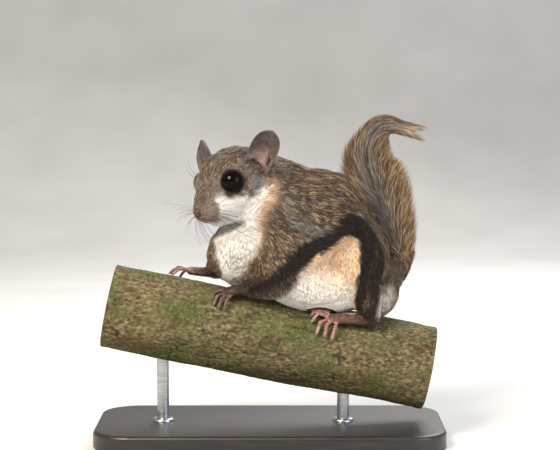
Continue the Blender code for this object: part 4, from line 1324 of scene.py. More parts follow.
class Skin:
    """One skin over all the flesh: body inset by the coat's depth, with face, paws and tail core."""

    flesh = (
        *("trunk", "neck", "head", "upper_arm_left", "upper_arm_right", "forearm_left", "forearm_right"),
        *("membrane_left", "membrane_right", "thigh_left", "thigh_right", "shank_left", "shank_right"),
    )
    brush = ("tail_base", "tail_middle", "tail_tip")
    bridge = 0.24
    rough_voxel = 0.9
    fine_voxel = 0.36
    most_triangles = 185_000

    def __init__(self, lie: Lie) -> None:
        """Keeps the coat's depth.

        Args:
            lie: The coat's sizes.
        """
        self.lie = lie

    def body(self) -> Shape:
        """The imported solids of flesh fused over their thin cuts, then inset by the coat's depth."""
        shapes = []
        for name in self.flesh:
            node = bpy.data.objects[name]
            points, triangles = welded(points_of(node), triangles_of(node))
            shapes.append((points + facing(points, triangles)[1] * self.bridge, [triangles]))
        for eye in EYES:
            centre = eye.centre + np.linspace(-1, 1, 9)[:, None] * np.array([0.0, 0.0, 4.9])
            size = np.sqrt(np.maximum(4.9**2 - np.linspace(-4.9, 4.9, 9) ** 2, 0.01))
            shapes.append(tube(centre, np.stack([size, size], axis=1), face=(1, 0, 0), around=24))
        whole = remeshed(mesh_piece("skin_form", *joined(shapes)), self.rough_voxel, 3)
        points, normals = points_of(whole), normals_of(whole)
        depth = self.lie.sizes(points)[:, 1]
        inset = points - normals * (0.92 * depth)[:, None]
        triangles = triangles_of(whole)
        bpy.data.objects.remove(whole)
        return inset, [triangles]

    def build(self) -> Surface:
        """Joins body, paws and tail core, sculpts the face, and keeps the mesh to its limit.

        Returns:
            The finished skin.
        """
        shapes = [self.body()]
        for paw in PAWS.values():
            shapes.append(tube(*domed(paw.palm, 4), face=(0, 0, 1), around=20))
            shapes += [toe_shape(toe, paw.toe_radius) for toe in paw.toes]
        core = through(TAIL, 4)[: 4 * TAIL_CORE_STOP, :3]
        size = np.linspace(2.4, 0.9, len(core))
        rows = np.hstack([core, size[:, None], size[:, None]])
        shapes.append(tube(*domed(rows, 1), face=TAIL_FACE, around=14))
        whole = remeshed(mesh_piece("skin", *joined(shapes)), self.fine_voxel, 4)
        points = self.face(points_of(whole))
        points = off_branch(points, 0.05)
        reshape(whole, points)
        self.thin(whole, points)
        self.piece = whole
        return Surface(points_of(whole), triangles_of(whole))

    def face(self, points: Array) -> Array:
        """Opens the lids over the eyeballs and adds mouth, lips, pads and brow.

        Args:
            points: The whole skin's points.

        Returns:
            The points, moved.
        """
        for eye in EYES:
            far, angle = eye.bearing(points)
            turn = unit(points - eye.centre)
            edge = eye.opening
            lid = eye.radius + 0.3
            inner = mix(0.82 * eye.radius, lid, ramp(edge - 0.1, edge + 0.01, angle))
            rim = inner + 0.1 * bell((angle - edge - 0.09) / 0.07)
            blend = ramp(edge + 0.12, edge + 0.7, angle)
            wanted = mix(rim, np.maximum(far, lid), blend)
            reach = (far < eye.radius + 5) & (angle < edge + 0.9)
            points = np.where(reach[:, None], eye.centre + turn * wanted[:, None], points)
        local = HEAD.local(points)
        f, s, u = local.T
        side = np.abs(s)
        twin = np.stack([f, side, u], axis=1)
        groove = mouth_line(local)
        away = unit(twin - np.array([4.0, 0.0, -5.0]))
        cut = 0.85 * bell(groove / 0.42) * ramp(10, 11.6, f)
        lip = 0.3 * bell((groove - 1.05) / 0.5) * ramp(10.4, 12.4, f)
        pad = 0.75 * bell(norms(twin - np.array([14.2, 3.8, -6.6])) / 2.6)
        cleft = 0.35 * bell(s / 0.45) * ramp(16, 18.2, f) * fade(-6.4, -5.2, u)
        brow = 0.45 * bell(norms(twin - np.array([5.2, 9.4, 8.8])) / 2.4)
        brow += 1.7 * bell(norms(local - np.array([8.4, -6.4, 3.8])) / 2.6)
        nostril = norms((twin - np.array([18.8, 1.7, -5.4])) * np.array([1.0, 1.0, 1.3]))
        hole = 0.5 * bell(nostril / 0.7)
        move = lip + pad + brow - cut - cleft - hole
        twin = twin + away * move[:, None]
        local = np.stack([twin[:, 0], twin[:, 1] * np.where(s < 0, -1.0, 1.0), twin[:, 2]], axis=1)
        moved = np.abs(move) > 1e-3
        return np.where(moved[:, None], HEAD.place(local), points)

    def thin(self, whole: Thing, points: Array) -> None:
        """Thins the furred body and spares the face and the digits.

        Args:
            whole: The skin.
            points: Its points.
        """
        f = HEAD.local(points)[:, 0]
        spare = ramp(-4, 2, f) * ramp(84, 88, points[:, 2])
        for paw in PAWS.values():
            rows = np.vstack([np.array(toe, float) for toe in paw.toes])
            spare = np.maximum(spare, fade(4, 7, nearest_share(points, rows)[0]))
        group = whole.vertex_groups.new(name="thinned")
        for level in range(5):
            chosen = np.flatnonzero(np.round((1 - spare) * 4) == level)
            group.add(chosen.tolist(), level / 4, "REPLACE")
        count = len(triangles_of(whole))
        modifier = whole.modifiers.new("Thin", "DECIMATE")
        modifier.ratio = min(1, self.most_triangles / count)
        modifier.vertex_group = group.name
        modifier.vertex_group_factor = 1
        settle(whole)
        whole.vertex_groups.clear()

    def dress(self, markings: Markings, material: Material) -> None:
        """Gives the skin the coat's markings, the tints of bare skin and its material.

        Args:
            markings: The pigment shares.
            material: The skin's finish.
        """
        points = points_of(self.piece)
        paint(self.piece, points, markings.at(points), 0.35, 0.5 + 0.3 * noise(points, 0.8, 21))
        self.tint(points)
        self.piece.data.materials.clear()
        self.piece.data.materials.append(material)
        self.piece.data.shade_smooth()
        hand_over(self.piece, "coat", *self.flesh, *self.brush, *PAWS)

    def tint(self, points: Array) -> None:
        """Stores the colour of bare skin, with painted shade in the mouth's crease, and how bare it is, at
        each point.

        Args:
            points: The skin's points.
        """
        local = HEAD.local(points)
        twin = near_side(local)
        colour = np.tile(np.array(linear("#64504a")[:3]), (len(points), 1))
        bare = 0.8 * ramp(15, 17.5, twin[:, 0] - 0.6 * np.maximum(twin[:, 2] + 4, 0))
        # Painted shade: the mouth's crease is coloured near-black brown and counted as bare.
        crease = fade(0.3, 0.75, mouth_line(local)) * ramp(10, 11.6, local[:, 0])
        colour = mix(colour, np.array(linear("#2a1714")[:3]), crease[:, None])
        bare = np.maximum(bare, crease)
        for eye in EYES:
            far, angle = eye.bearing(points)
            lid = fade(5.8, 6.8, far) * fade(eye.opening + 0.06, eye.opening + 0.16, angle)
            colour = mix(colour, np.array(linear("#0a0706")[:3]), lid[:, None])
            bare = np.maximum(bare, lid)
        tones = {
            "hand_left": ("#4d3e37", "#786259"),
            "hand_right": ("#7a5d56", "#9c7a72"),
            "foot_left": ("#775a51", "#a58176"),
            "foot_right": ("#715750", "#977268"),
        }
        for name, paw in PAWS.items():
            back, digit = (np.array(linear(code)[:3]) for code in tones[name])
            palm = through(paw.palm, 6)
            toes = np.vstack([through(toe, 6) for toe in paw.toes])
            on_palm, on_toe = under_share(points, palm), under_share(points, toes)
            here = fade(3, 3.9, np.minimum(on_palm, on_toe + 1.6))
            finger = fade(1.1, 2.2, on_toe)
            speckle = 0.18 * noise(points, 0.7, 31) + 0.15 * noise(points, 2, 32)
            tone = mix(back, digit, np.clip(finger + speckle, 0, 1)[:, None])
            wrist = ramp(1.5, 5, nearest_share(points, palm[:3])[0])
            colour = mix(colour, tone, here[:, None])
            bare = np.maximum(bare * (1 - here), here * np.maximum(wrist, 0.2))
        layer = self.piece.data.attributes.new("tint", "FLOAT_COLOR", "POINT")
        layer.data.foreach_set("color", np.hstack([colour, bare[:, None]]).astype(np.float32).ravel())


def near_side(local: Array) -> Array:
    """Head places, those to the right mirrored to the left."""
    return local * np.where(local[:, 1:2] < 0, MIRROR, np.ones(3))


def mouth_line(local: Array) -> Array:
    """Distance from the closed mouth, for places given in the head's frame."""
    curve = through(
        ((18.6, 0, -7.6), (17.6, 1.7, -8.3), (15.8, 3.1, -9.4), (13.6, 4.3, -10.4), (11.4, 5.2, -10.9)), 8
    )
    return nearest_share(near_side(local), curve)[0]


def cylinder_map(points: Array, start: Array, end: Array) -> Array:
    """The angle about an axis and the distance along it, both brought between 0.01 and 0.99."""
    along = unit(end - start)
    across = unit(np.cross(along, (0, 0, 1)))
    up = np.cross(across, along)
    away = points - start
    angle = np.arctan2(away @ across, away @ up)
    far = away @ along
    places = np.stack([angle, far], axis=1)
    low, high = places.min(0), places.max(0)
    return 0.01 + 0.98 * (places - low) / np.maximum(high - low, 1e-6)


def paint(
    piece: Thing, points: Array, shares: dict[str, Array], along: Array | float, chance: Array | float
) -> None:
    """Stores the pigment shares on a piece.

    Args:
        piece: The skin or a coat piece.
        points: Its points.
        shares: What the markings say at each point.
        along: How far from root to tip.
        chance: A random share for each tuft.
    """
    colour_layer(piece, "marks", [shares["pale"], shares["band"], shares["buff"], shares["grey"]])
    colour_layer(piece, "marks2", [shares["rufous"], along, chance, shares["pink"]])


# Eyes, nose, ears, claws and whiskers


@dataclass(kw_only=True)
class Dressed:
    """Something made of pieces that share one finish."""

    pieces: list[Thing] = field(default_factory=list)

    def keep(self, piece: Thing, slot: str, *nodes: str) -> None:
        """Hands a finished piece over, and keeps it to be dressed."""
        hand_over(piece, slot, *nodes)
        self.pieces.append(piece)

    def dress(self, material: Material) -> None:
        """Puts one material on every piece."""
        for piece in self.pieces:
            piece.data.materials.clear()
            piece.data.materials.append(material)


def globe(rings: int, around: int) -> tuple[Array, Array, Array]:
    """A unit ball's angle from its axis ring by ring, and its two places square to that axis."""
    turn = np.linspace(0.02, math.pi - 0.02, rings)[:, None]
    spin = np.linspace(0, 2 * math.pi, around, endpoint=False)[None]
    return turn, np.sin(turn) * np.cos(spin), np.sin(turn) * np.sin(spin)


@dataclass
class Eyes(Dressed):
    """Two dark wet eyeballs, each a little steeper at the cornea."""

    cornea_rise: float = 0.035
    cornea_reach: float = 0.75
    rings: int = 40
    around: int = 56

    def build(self) -> None:
        """Spheres about the eye's axis: radius R(1 + rise * exp(-(angle / reach)^2))."""
        for name, eye in zip(("eye_left", "eye_right"), EYES):
            turn, across, rise = globe(self.rings, self.around)
            side = unit(np.cross(eye.axis, (0.0, 0.0, 1.0)))
            up = np.cross(side, eye.axis)
            way = np.cos(turn)[:, :, None] * eye.axis + across[:, :, None] * side + rise[:, :, None] * up
            radius = eye.radius * (1 + self.cornea_rise * bell(turn / self.cornea_reach))
            ball = eye.centre + way * radius[:, :, None]
            points, blocks = capped(ball, ball[0].mean(0), ball[-1].mean(0))
            piece = mesh_piece(name + "_ball", points, blocks)
            _, angle = eye.bearing(points)
            colour_layer(piece, "iris", [angle / math.pi, 0, 0, 1])
            self.keep(piece, "eye", name)


@dataclass
class NosePad(Dressed):
    """The bare pad at the muzzle's tip, with two comma-shaped nostrils and a groove."""

    middle: Triple = (17.85, 0, -5)
    half: Triple = (1.5, 2.05, 1.5)
    rings: int = 40
    around: int = 64

    def build(self) -> None:
        """A squared ball, pressed in at the nostrils and along its middle."""
        turn, across, rise = globe(self.rings, self.around)
        shape = np.stack([np.cos(turn) * np.ones_like(across), across, rise], axis=-1).reshape(-1, 3)
        shape = np.sign(shape) * np.abs(shape) ** 0.88 * np.array(self.half)
        side = np.abs(shape[:, 1])
        rise = 0.7 * (shape[:, 2] + 0.1) - 0.7 * (shape[:, 0] - 1)
        over = 0.7 * (shape[:, 2] + 0.1) + 0.7 * (shape[:, 0] - 1)
        slit = (rise / 0.75) ** 2 + ((over + 0.25 * rise**2) / 0.3) ** 2 + ((side - 1.5) / 0.5) ** 2
        hole = 0.5 * np.exp(-slit)
        groove = 0.26 * bell(shape[:, 1] / 0.22) * fade(0.2, 1.2, shape[:, 2])
        shape = shape - unit(shape) * (hole + groove)[:, None]
        shape[:, 1] *= 1 + 0.14 * ramp(-1.2, 1.2, shape[:, 2])
        shape = np.vstack([shape, shape[: self.around].mean(0), shape[-self.around :].mean(0)])
        points = HEAD.place(np.array(self.middle) + shape)
        rings = points[:-2].reshape(self.rings, self.around, 3)
        piece = mesh_piece("nose_pad", *capped(rings, points[-2], points[-1]))
        # Painted shade: each nostril is painted as dark as its hollow is deep.
        dark = np.clip(np.append(hole, [0, 0]) / 0.5, 0, 1)
        colour_layer(piece, "nostril", [dark, 0, 0, 1])
        self.keep(piece, "bare_skin", "nose")


# Each ear's root, rise and facing on the head: the left is spread, the right pricked forward
EAR_SEATS = {
    1: ((-9.4, 12.8, 5.3), (-0.1, 0.75, 0.65), (0.62, 0.76, 0.15)),
    -1: ((-6.5, -13.4, 4.2), (-0.25, -0.56, 0.79), (0.97, -0.12, 0.075)),
}


@dataclass
class Ears(Dressed):
    """Thin cupped ears: a rolled rim, a fold beside the hollow, and a flap before the opening."""

    length: float = 16.5
    width: float = 11.5
    wall: float = 0.55
    steps: int = 56
    surfaces: list = field(default_factory=list)

    def frame(self, side: int) -> tuple[Array, Array, Array, Array]:
        """The ear's root, rise, facing and sideways directions."""
        root, rise, facing = EAR_SEATS[side]
        rise = unit(HEAD.turn(rise))
        facing = HEAD.turn(facing)
        facing = unit(facing - rise * (facing @ rise))
        return HEAD.place(root), rise, facing, np.cross(rise, facing) * side

    def build(self) -> None:
        """Each ear as two grids, s across and t up, joined round the rim.

        The half width is W/2 (0.75 + 0.42 t) sqrt(1 - t^4.5); the hollow deepens with s^2 and
        flattens towards the tip. Only the front grid has the folds.
        """
        turn = np.linspace(-math.pi / 2, math.pi / 2, self.steps)[None]
        s = np.sin(turn)
        t = np.sin(np.linspace(0, math.pi / 2, self.steps))[:, None]
        half = 0.5 * self.width * (0.75 + 0.42 * t) * np.sqrt(np.clip(1 - t**4.5, 0, 1)) + 0.25
        wide = half * np.sin(s * math.pi / 2)
        cup = 0.32 * self.width * s**2 * (1 - 0.85 * t**2) * np.minimum(1, half / 3)
        tall = -3 + (self.length + 3) * t - 0.7 * s**2 * t
        edge = np.maximum(np.abs(s), t**1.5)
        inward = np.minimum(half - np.abs(wide), 0.8 * self.length * (1 - t))
        rim = 0.5 * bell(inward / 0.55) * fade(0.8, 0.97, t)
        fold = 2.3 * bell((s - 0.3 + 1.1 * (t - 0.36)) / 0.13) * ramp(0.16, 0.3, t) * fade(0.4, 0.56, t)
        hollow = -1.5 * np.exp(-(((s + 0.05) / 0.42) ** 2 + ((t - 0.27) / 0.16) ** 2))
        flap = 1.7 * np.exp(-(((s + 0.62) / 0.2) ** 2 + ((t - 0.24) / 0.09) ** 2))
        veins = 0.05 * np.sin(9 * s + 6 * t) * ramp(0.3, 0.6, t)
        thin = self.wall * (1 - 0.55 * edge**4)
        depth = cup - 1
        for name, side in (("ear_left", 1), ("ear_right", -1)):
            root, rise, facing, sideways = self.frame(side)

            def laid(out: Array) -> Array:
                """The grid's points, this far along the facing direction."""
                out = np.broadcast_to(out, wide.shape)
                place = root + wide[:, :, None] * sideways + tall[:, :, None] * rise
                return (place + out[:, :, None] * facing).reshape(-1, 3)

            front = laid(depth + rim + fold + hollow + flap + veins + thin / 2)
            back = laid(depth + rim + np.minimum(hollow, 0) - thin / 2)
            count = len(front)
            quads = grid_faces(self.steps, self.steps)
            row = np.arange(self.steps)
            last = self.steps - 1
            right, left = row[1:] * self.steps + last, row[-2:0:-1] * self.steps
            loop = np.concatenate([row, right, last * self.steps + row[-2::-1], left])
            after = np.roll(loop, -1)
            wall = np.stack([after, loop, loop + count, after + count], axis=1)
            points, blocks = turned_out(np.vstack([front, back]), [quads, quads[:, ::-1] + count, wall])
            piece = mesh_piece(name + "_leaf", points, blocks)
            # Painted shade: the crevice beside the fold, which the material paints near-black.
            slot = ((s - 0.5 + 1.1 * (t - 0.3)) / 0.13) ** 2
            cleft = (np.exp(-slot) * ramp(0.1, 0.2, t) * fade(0.3, 0.42, t)).ravel()
            inside = np.exp(-(((s + 0.05) / 0.42) ** 2 + ((t - 0.24) / 0.18) ** 2)).ravel()
            rimmed = bell(inward / 0.6).ravel()
            both = [np.tile(share, 2) for share in (cleft, inside, rimmed)]
            colour_layer(piece, "leaf", [*both, np.repeat([0.0, 1.0], count)])
            self.surfaces.append((points, quads, count, side))
            self.keep(piece, "bare_skin", name)


@dataclass
class Claws(Dressed):
    """A curved, flattened claw on every digit."""

    length: float = 1.45
    radius: float = 0.33

    def build(self) -> None:
        """Tapered tubes from each toe's tip, bending down towards the bark."""
        shapes = []
        for paw in PAWS.values():
            for toe in paw.toes:
                _, knuckle, tip = (np.array(p, float) for p in toe)
                way = unit(tip - knuckle)
                down = unit(way + np.array([0.0, 0.0, -0.9]))
                t = np.linspace(-0.35, 1, 9)[:, None]
                path = tip + np.array([0, 0, 0.22]) + way * self.length * t * 0.85
                path = path + down * self.length * 0.42 * t * np.abs(t)
                size = self.radius * (1 - 0.93 * np.clip(t, 0, 1) ** 1.3)
                path = off_branch(path, 0.12)
                shapes.append(tube(path, np.hstack([0.78 * size, size]), face=TOE_FACE, around=10))
        self.keep(mesh_piece("claws", *joined(shapes)), "bare_skin")


@dataclass
class Whiskers(Dressed):
    """Stiff tapered whiskers in rows on each side of the muzzle, and two over each eye."""

    rows: int = 5
    columns: int = 4
    thick: float = 0.095
    thin: float = 0.025
    seed: int = 11

    def build(self) -> None:
        """Each whisker is root + way * L t + bend * L t^2, as a five-sided tapering tube."""
        dice = np.random.default_rng(self.seed)
        shapes, tones = [], []
        for side in (1, -1):
            turn = np.array([1.0, side, 1.0])
            for row in range(self.rows):
                v = row / (self.rows - 1)
                for column in range(self.columns):
                    w = column / (self.columns - 1)
                    root = np.array([15.4 - 3.4 * w, 4.4 + 1.9 * w, -9.2 + 4.4 * v + 0.3 * w])
                    way = np.array([mix(-0.28, 0.62, v) - 0.25 * w, 0.78, mix(-0.68, 0.3, v)])
                    way = unit(way + dice.normal(0, 0.07, 3))
                    bend = np.array([-0.42, 0.05, -0.22 - 0.2 * (1 - v)]) + dice.normal(0, 0.04, 3)
                    length = (15 + 9 * w) * dice.uniform(0.8, 1.15)
                    shapes.append(self.hair(root * turn, way * turn, bend * turn, length))
                    tones.append(0.15 if v < 0.55 else 0.75)
            for k in range(2):
                root = np.array([6.5 + 1.4 * k, 8.6, 8.2 - 0.8 * k])
                way = unit(np.array([0.1, 0.6, 0.8]) + dice.normal(0, 0.05, 3))
                shapes.append(self.hair(root * turn, way * turn, np.array([-0.45, 0.0, -0.2]) * turn, 9.0))
                tones.append(0.2)
        piece = mesh_piece("whiskers", *joined(shapes))
        tone = np.repeat(tones, [len(shape) for shape, _ in shapes])
        colour_layer(piece, "tone", [tone, 0, 0, 1])
        self.keep(piece, "coat")

    def hair(self, root: Array, way: Array, bend: Array, length: float) -> Shape:
        """One whisker, from head directions.

        Args:
            root: Where it leaves the skin.
            way: Its first direction.
            bend: Where it curves to.
            length: Its length.

        Returns:
            A closed tube.
        """
        t = np.linspace(0, 1, 10)[:, None]
        path = HEAD.place(root - 0.4 * way + way * length * t + bend * length * t**2)
        size = mix(self.thick, self.thin, t**0.8)
        return tube(path, np.hstack([size, size]), face=(0.2, 0.1, 1), around=5)


# The coat


class CoatRegion(Enum):
    """The pieces that the body's coat is made in, each with seats that claim the roots near them.

    The first value says whether the seats are on the head, as forward, left, up, or x, y, z.
    """

    FACE = (True, (13, 0, 0), (11, 6, -3), (11, -6, -3), (7, 0, 8), (7, 9, 4), (7, -9, 4), (12, 0, -9))
    CROWN = (True, (-5, 0, 13), (-8, 11, 8), (-8, -11, 8), (-14, 0, 14))
    CHEEKS = (True, (-2, 13, -5), (-2, -13, -5), (0, 0, -13), (-9, 12, -8), (-9, -12, -8))
    CHEST = (False, (-13, -14, 86), (-17, -4, 82), (-14, -8, 70), (-14, 0, 64))
    SHOULDER_LEFT = (False, (3, -17, 95), (1, -18, 82), (-1, -18, 70), (-6, -16, 63))
    SHOULDER_RIGHT = (False, (-4, 14, 96), (-14, 12, 84), (-20, 8, 75), (-2, 16, 84))
    FLANK_LEFT = (False, (18, -19, 90), (24, -16, 99), (14, -20, 77), (26, -19, 88))
    FLANK_RIGHT = (False, (12, 21, 98), (10, 24, 84), (24, 24, 96))
    BACK = (False, (4, 0, 114), (14, 0, 111), (26, 0, 107))
    HAUNCH_LEFT = (False, (38, -13, 90), (41, -14, 78), (41, -14, 64), (38, -14, 52), (36, -12, 96))
    HAUNCH_RIGHT = (False, (34, 23, 86), (36, 22, 74), (34, 20, 60), (20, 16, 56))
    BELLY = (False, (22, -15, 68), (12, -8, 58), (20, 12, 60), (14, 20, 68), (28, -4, 55))
    RUMP = (False, (44, 4, 90), (49, 3, 76), (50, 4, 62), (40, 6, 100))


HEAD_AXIS = HEAD.place([(18, 0, -4), (-18, 0, 0)])
BODY_AXIS = np.array([(-25.0, -6.0, 88.0), (46.0, 5.0, 76.0)])


def spikes(levels: Array, across: Array, up: Array, widths: Array) -> tuple[Array, Array]:
    """Closed three-sided spikes, one for each row.

    Each level but the last is a triangle square to the spike, two corners across it and one up.

    Args:
        levels: Places of each spike's levels, root first: spikes, levels, 3.
        across: The sideways direction of each spike's levels.
        up: The direction away from the skin at each level.
        widths: Full width at each level but the last: spikes, levels - 1.

    Returns:
        Points and triangles.
    """
    count, rows = levels.shape[:2]
    half = 0.5 * widths[:, :, None]
    side, rise = across[:, :-1] * half, up[:, :-1] * half * 0.45
    middle = levels[:, :-1]
    ring = np.stack([middle - side, middle + side, middle + rise], axis=2)
    points = np.concatenate([ring.reshape(count, -1, 3), levels[:, -1:]], axis=1)
    faces = []
    for row in range(rows - 2):
        for k in range(3):
            n = (k + 1) % 3
            a, b, c, d = row * 3 + k, row * 3 + n, row * 3 + 3 + n, row * 3 + 3 + k
            faces += [(a, b, c), (a, c, d)]
    top = (rows - 2) * 3
    faces += [(top + k, top + (k + 1) % 3, top + 3) for k in range(3)]
    faces.append((2, 1, 0))
    each = points.shape[1]
    triangles = np.array(faces)[None] + (np.arange(count) * each)[:, None, None]
    points, blocks = turned_out(points.reshape(-1, 3), [triangles.reshape(-1, 3)])
    return points, blocks[0]


@dataclass
class TuftSet:
    """Finished tufts: their levels, the pigment shares at their roots and their roots' unwrap."""

    levels: Array
    across: Array
    up: Array
    widths: Array
    shares: dict[str, Array]
    chance: Array
    places: Array

    patch = 0.003

    def piece(self, name: str, keep: Array, rise: Array) -> Thing:
        """Makes one coat piece of some of the tufts.

        Args:
            name: The piece's name.
            keep: Which tufts.
            rise: How far along the hair each level is, from 0 to 1.

        Returns:
            The piece, painted and unwrapped.
        """
        points, triangles = spikes(self.levels[keep], self.across[keep], self.up[keep], self.widths[keep])
        piece = mesh_piece(name, points, [triangles])
        rows = self.levels.shape[1]
        each = 3 * (rows - 1) + 1
        climb = np.append(np.repeat(rise[:-1], 3), rise[-1])
        along = np.tile(climb, len(keep))
        shares = {key: np.repeat(value[keep], each) for key, value in self.shares.items()}
        paint(piece, points, shares, along, np.repeat(self.chance[keep], each))
        spread = np.append(np.tile([0.0, 1.0, 0.5], rows - 1), 0.5)
        climb[2] -= 0.2
        offset = np.stack([spread - 0.5, climb - 0.5], axis=1) * self.patch
        bake_map(piece, (self.places[keep][:, None] + offset[None]).reshape(-1, 2))
        return piece


@dataclass
class Coat(Dressed):
    """Fur over the whole skin, in thin closed tufts that lie along the body."""

    skin: Surface
    lie: Lie
    markings: Markings
    thickness: float = 0.98
    most_tufts: int = 19_400
    seed: int = 5

    def cover(self) -> Array:
        """Tufts a square mm on each triangle, none on eyes, nose, toes, soles or the hidden core."""
        middle = self.skin.points[self.skin.triangles].mean(1)
        normal = unit(self.skin.normal[self.skin.triangles].sum(1))
        density = self.lie.sizes(middle)[:, 3] * self.thickness
        local = HEAD.local(middle)
        density *= fade(17.2, 18.4, local[:, 0])
        for eye in EYES:
            far, angle = eye.bearing(middle)
            density *= np.where((far < 6.0) & (angle < eye.opening + 0.03), 0.0, 1.0)
        density *= np.where((mouth_line(local) < 0.6) & (local[:, 0] > 10.5), 0.0, 1.0)
        for paw in PAWS.values():
            toes = np.vstack([through(toe, 6) for toe in paw.toes])
            on_toe, _ = nearest_share(middle, toes)
            on_palm, _ = nearest_share(middle, through(paw.palm, 6))
            on_top = 0.2 * ramp(0, 0.5, normal[:, 2])
            density *= mix(on_top, 1, ramp(1.3, 2.2, on_toe))
            density *= np.where((on_palm < 4.2) & (normal[:, 2] < 0.1), 0.25, 1.0)
        core, _ = nearest_share(middle, through(TAIL, 6)[9:])
        density *= ramp(3.2, 3.8, core)
        height = norms(middle - off_branch(middle, 0.4))
        return np.where(height > 1e-4, 0.4 * density, density)

    def build(self) -> TuftSet:
        """Lays every tuft from its root along the skin, and pulls neighbours into locks.

        Returns:
            All the tufts.
        """
        dice = np.random.default_rng(self.seed)
        weight = self.cover()
        count = int((weight * self.skin.area).sum())
        root, normal = self.skin.scatter(weight, count, dice)
        length, depth, width, _ = self.lie.sizes(root).T
        guard = dice.random(count) < 0.07
        length = length * dice.uniform(0.85, 1.3, count) * np.where(guard, 1.15, 1.0)
        way = self.lie.direction(root, normal)
        lock, lock_place = self.locks(root, dice)
        swirl = 0.3 * noise(root, 6, 41) + 0.16 * noise(root, 2.2, 42) + 0.12 * lock
        swirl = swirl + dice.normal(0, 0.07, count)
        side = np.cross(normal, way)
        way = unit(way * np.cos(swirl)[:, None] + side * np.sin(swirl)[:, None])
        pull = dice.uniform(0.2, 0.75, count)[:, None] * (lock_place - root)
        middle, middle_normal = self.skin.nearest(root + way * (0.5 * length)[:, None] + 0.45 * pull)
        onward = unit(way - middle_normal * dot(way, middle_normal)[:, None])
        tip, tip_normal = self.skin.nearest(middle + onward * (0.5 * length)[:, None] + 0.5 * pull)
        shares = self.markings.at(root + way * (0.3 * length)[:, None])
        soft = 1 - 0.35 * shares["pale"]
        lift = soft * depth * (0.85 + 0.25 * noise(root, 2.5, 43) + 0.18 * lock)
        lift = lift * np.where(guard, 1.15, 1.0)
        middle = middle + middle_normal * (lift * dice.uniform(0.55, 0.95, count))[:, None]
        tip = tip + tip_normal * (lift * dice.uniform(0.35, 1.05, count))[:, None]
        levels = np.stack([root - 0.22 * normal, middle, tip], axis=1)
        levels = self.clear_of_eyes(levels)
        flat = levels[:, 1:].reshape(-1, 3)
        levels[:, 1:] = off_branch(flat, 0.12).reshape(-1, 2, 3)
        up = np.stack([normal, middle_normal, tip_normal], axis=1)
        low, mid, high = levels.transpose(1, 0, 2)
        run = unit(np.stack([mid - low, high - low, high - mid], axis=1))
        across = unit(np.cross(up, run))
        widths = (width / soft)[:, None] * np.array([0.65, 0.85]) * dice.uniform(0.8, 1.2, (count, 1))
        clump = noise(root, 1.5, 44)
        chance = np.where(guard, dice.uniform(0.85, 1.0, count), dice.uniform(0.0, 0.85, count))
        chance = np.clip(0.5 + 1.1 * (chance - 0.5) + 0.26 * lock + 0.26 * clump, 0, 1)
        pick = np.clip(0.5 + 0.2 * lock + 0.16 * clump + dice.normal(0, 0.16, count), 0.05, 0.95)
        for name in ("band", "grey", "rufous"):
            shares[name] = mix(shares[name], ramp(-0.22, 0.22, shares[name] - pick), 0.75)
        streak = (shares["pink"] > 0.15) & (dice.random(count) < 0.3)
        shares["pale"] = np.where(streak, np.maximum(shares["pale"], 0.45), shares["pale"])
        softer = mix(shares["pink"], ramp(-0.3, 0.3, shares["pink"] - pick), 0.5)
        shares["pink"] = np.where(streak, 0.3, softer)
        return TuftSet(levels, across, up, widths, shares, chance, np.zeros((count, 2)))

    def locks(self, root: Array, dice: Dice) -> tuple[Array, Array]:
        """The lock each root belongs to: a random number for it, and its middle."""
        chosen = root[::7]
        tree = KDTree(len(chosen))
        for k, place in enumerate(chosen.tolist()):
            tree.insert(place, k)
        tree.balance()
        which = np.array([tree.find(place)[1] for place in root.tolist()])
        number = dice.uniform(-1, 1, len(chosen))
        near = chosen[which] - root
        reach = np.linalg.norm(near, axis=1, keepdims=True)
        return number[which], root + near * np.minimum(1, 1.2 / np.maximum(reach, 1e-6))

    def clear_of_eyes(self, levels: Array) -> Array:
        """Turns tufts that would cross an eye aside to the rim of its lids."""
        flat = levels.reshape(-1, 3)
        for eye in EYES:
            far, angle = eye.bearing(flat)
            rim = eye.opening + 0.03
            away = flat - eye.centre
            side = unit(away - eye.axis * (away @ eye.axis)[:, None])
            turned = eye.centre + far[:, None] * (math.cos(rim) * eye.axis + math.sin(rim) * side)
            crossing = (angle < rim) & (far < eye.radius + 3)
            flat = np.where(crossing[:, None], turned, flat)
        return flat.reshape(levels.shape)

    def share_out(self, tufts: TuftSet) -> None:
        """Gives each region its tufts as one piece, unwrapped round the head or the body."""
        seats, owners = [], []
        for k, region in enumerate(CoatRegion):
            on_head, *places = region.value
            places = np.array(places, float)
            seats.append(HEAD.place(places) if on_head else places)
            owners += [k] * len(places)
        root = tufts.levels[:, 0]
        owner = np.array(owners)[nearest_share(root, np.vstack(seats))[1]]
        dice = np.random.default_rng(self.seed + 1)
        rise = np.array([0.0, 0.5, 1.0])
        for k, region in enumerate(CoatRegion):
            keep = np.flatnonzero(owner == k)
            if len(keep) > self.most_tufts:
                keep = np.sort(dice.choice(keep, self.most_tufts, replace=False))
            tufts.places[keep] = cylinder_map(root[keep], *(HEAD_AXIS if region.value[0] else BODY_AXIS))
            self.keep(tufts.piece("coat_" + region.name.lower(), keep, rise), "coat")


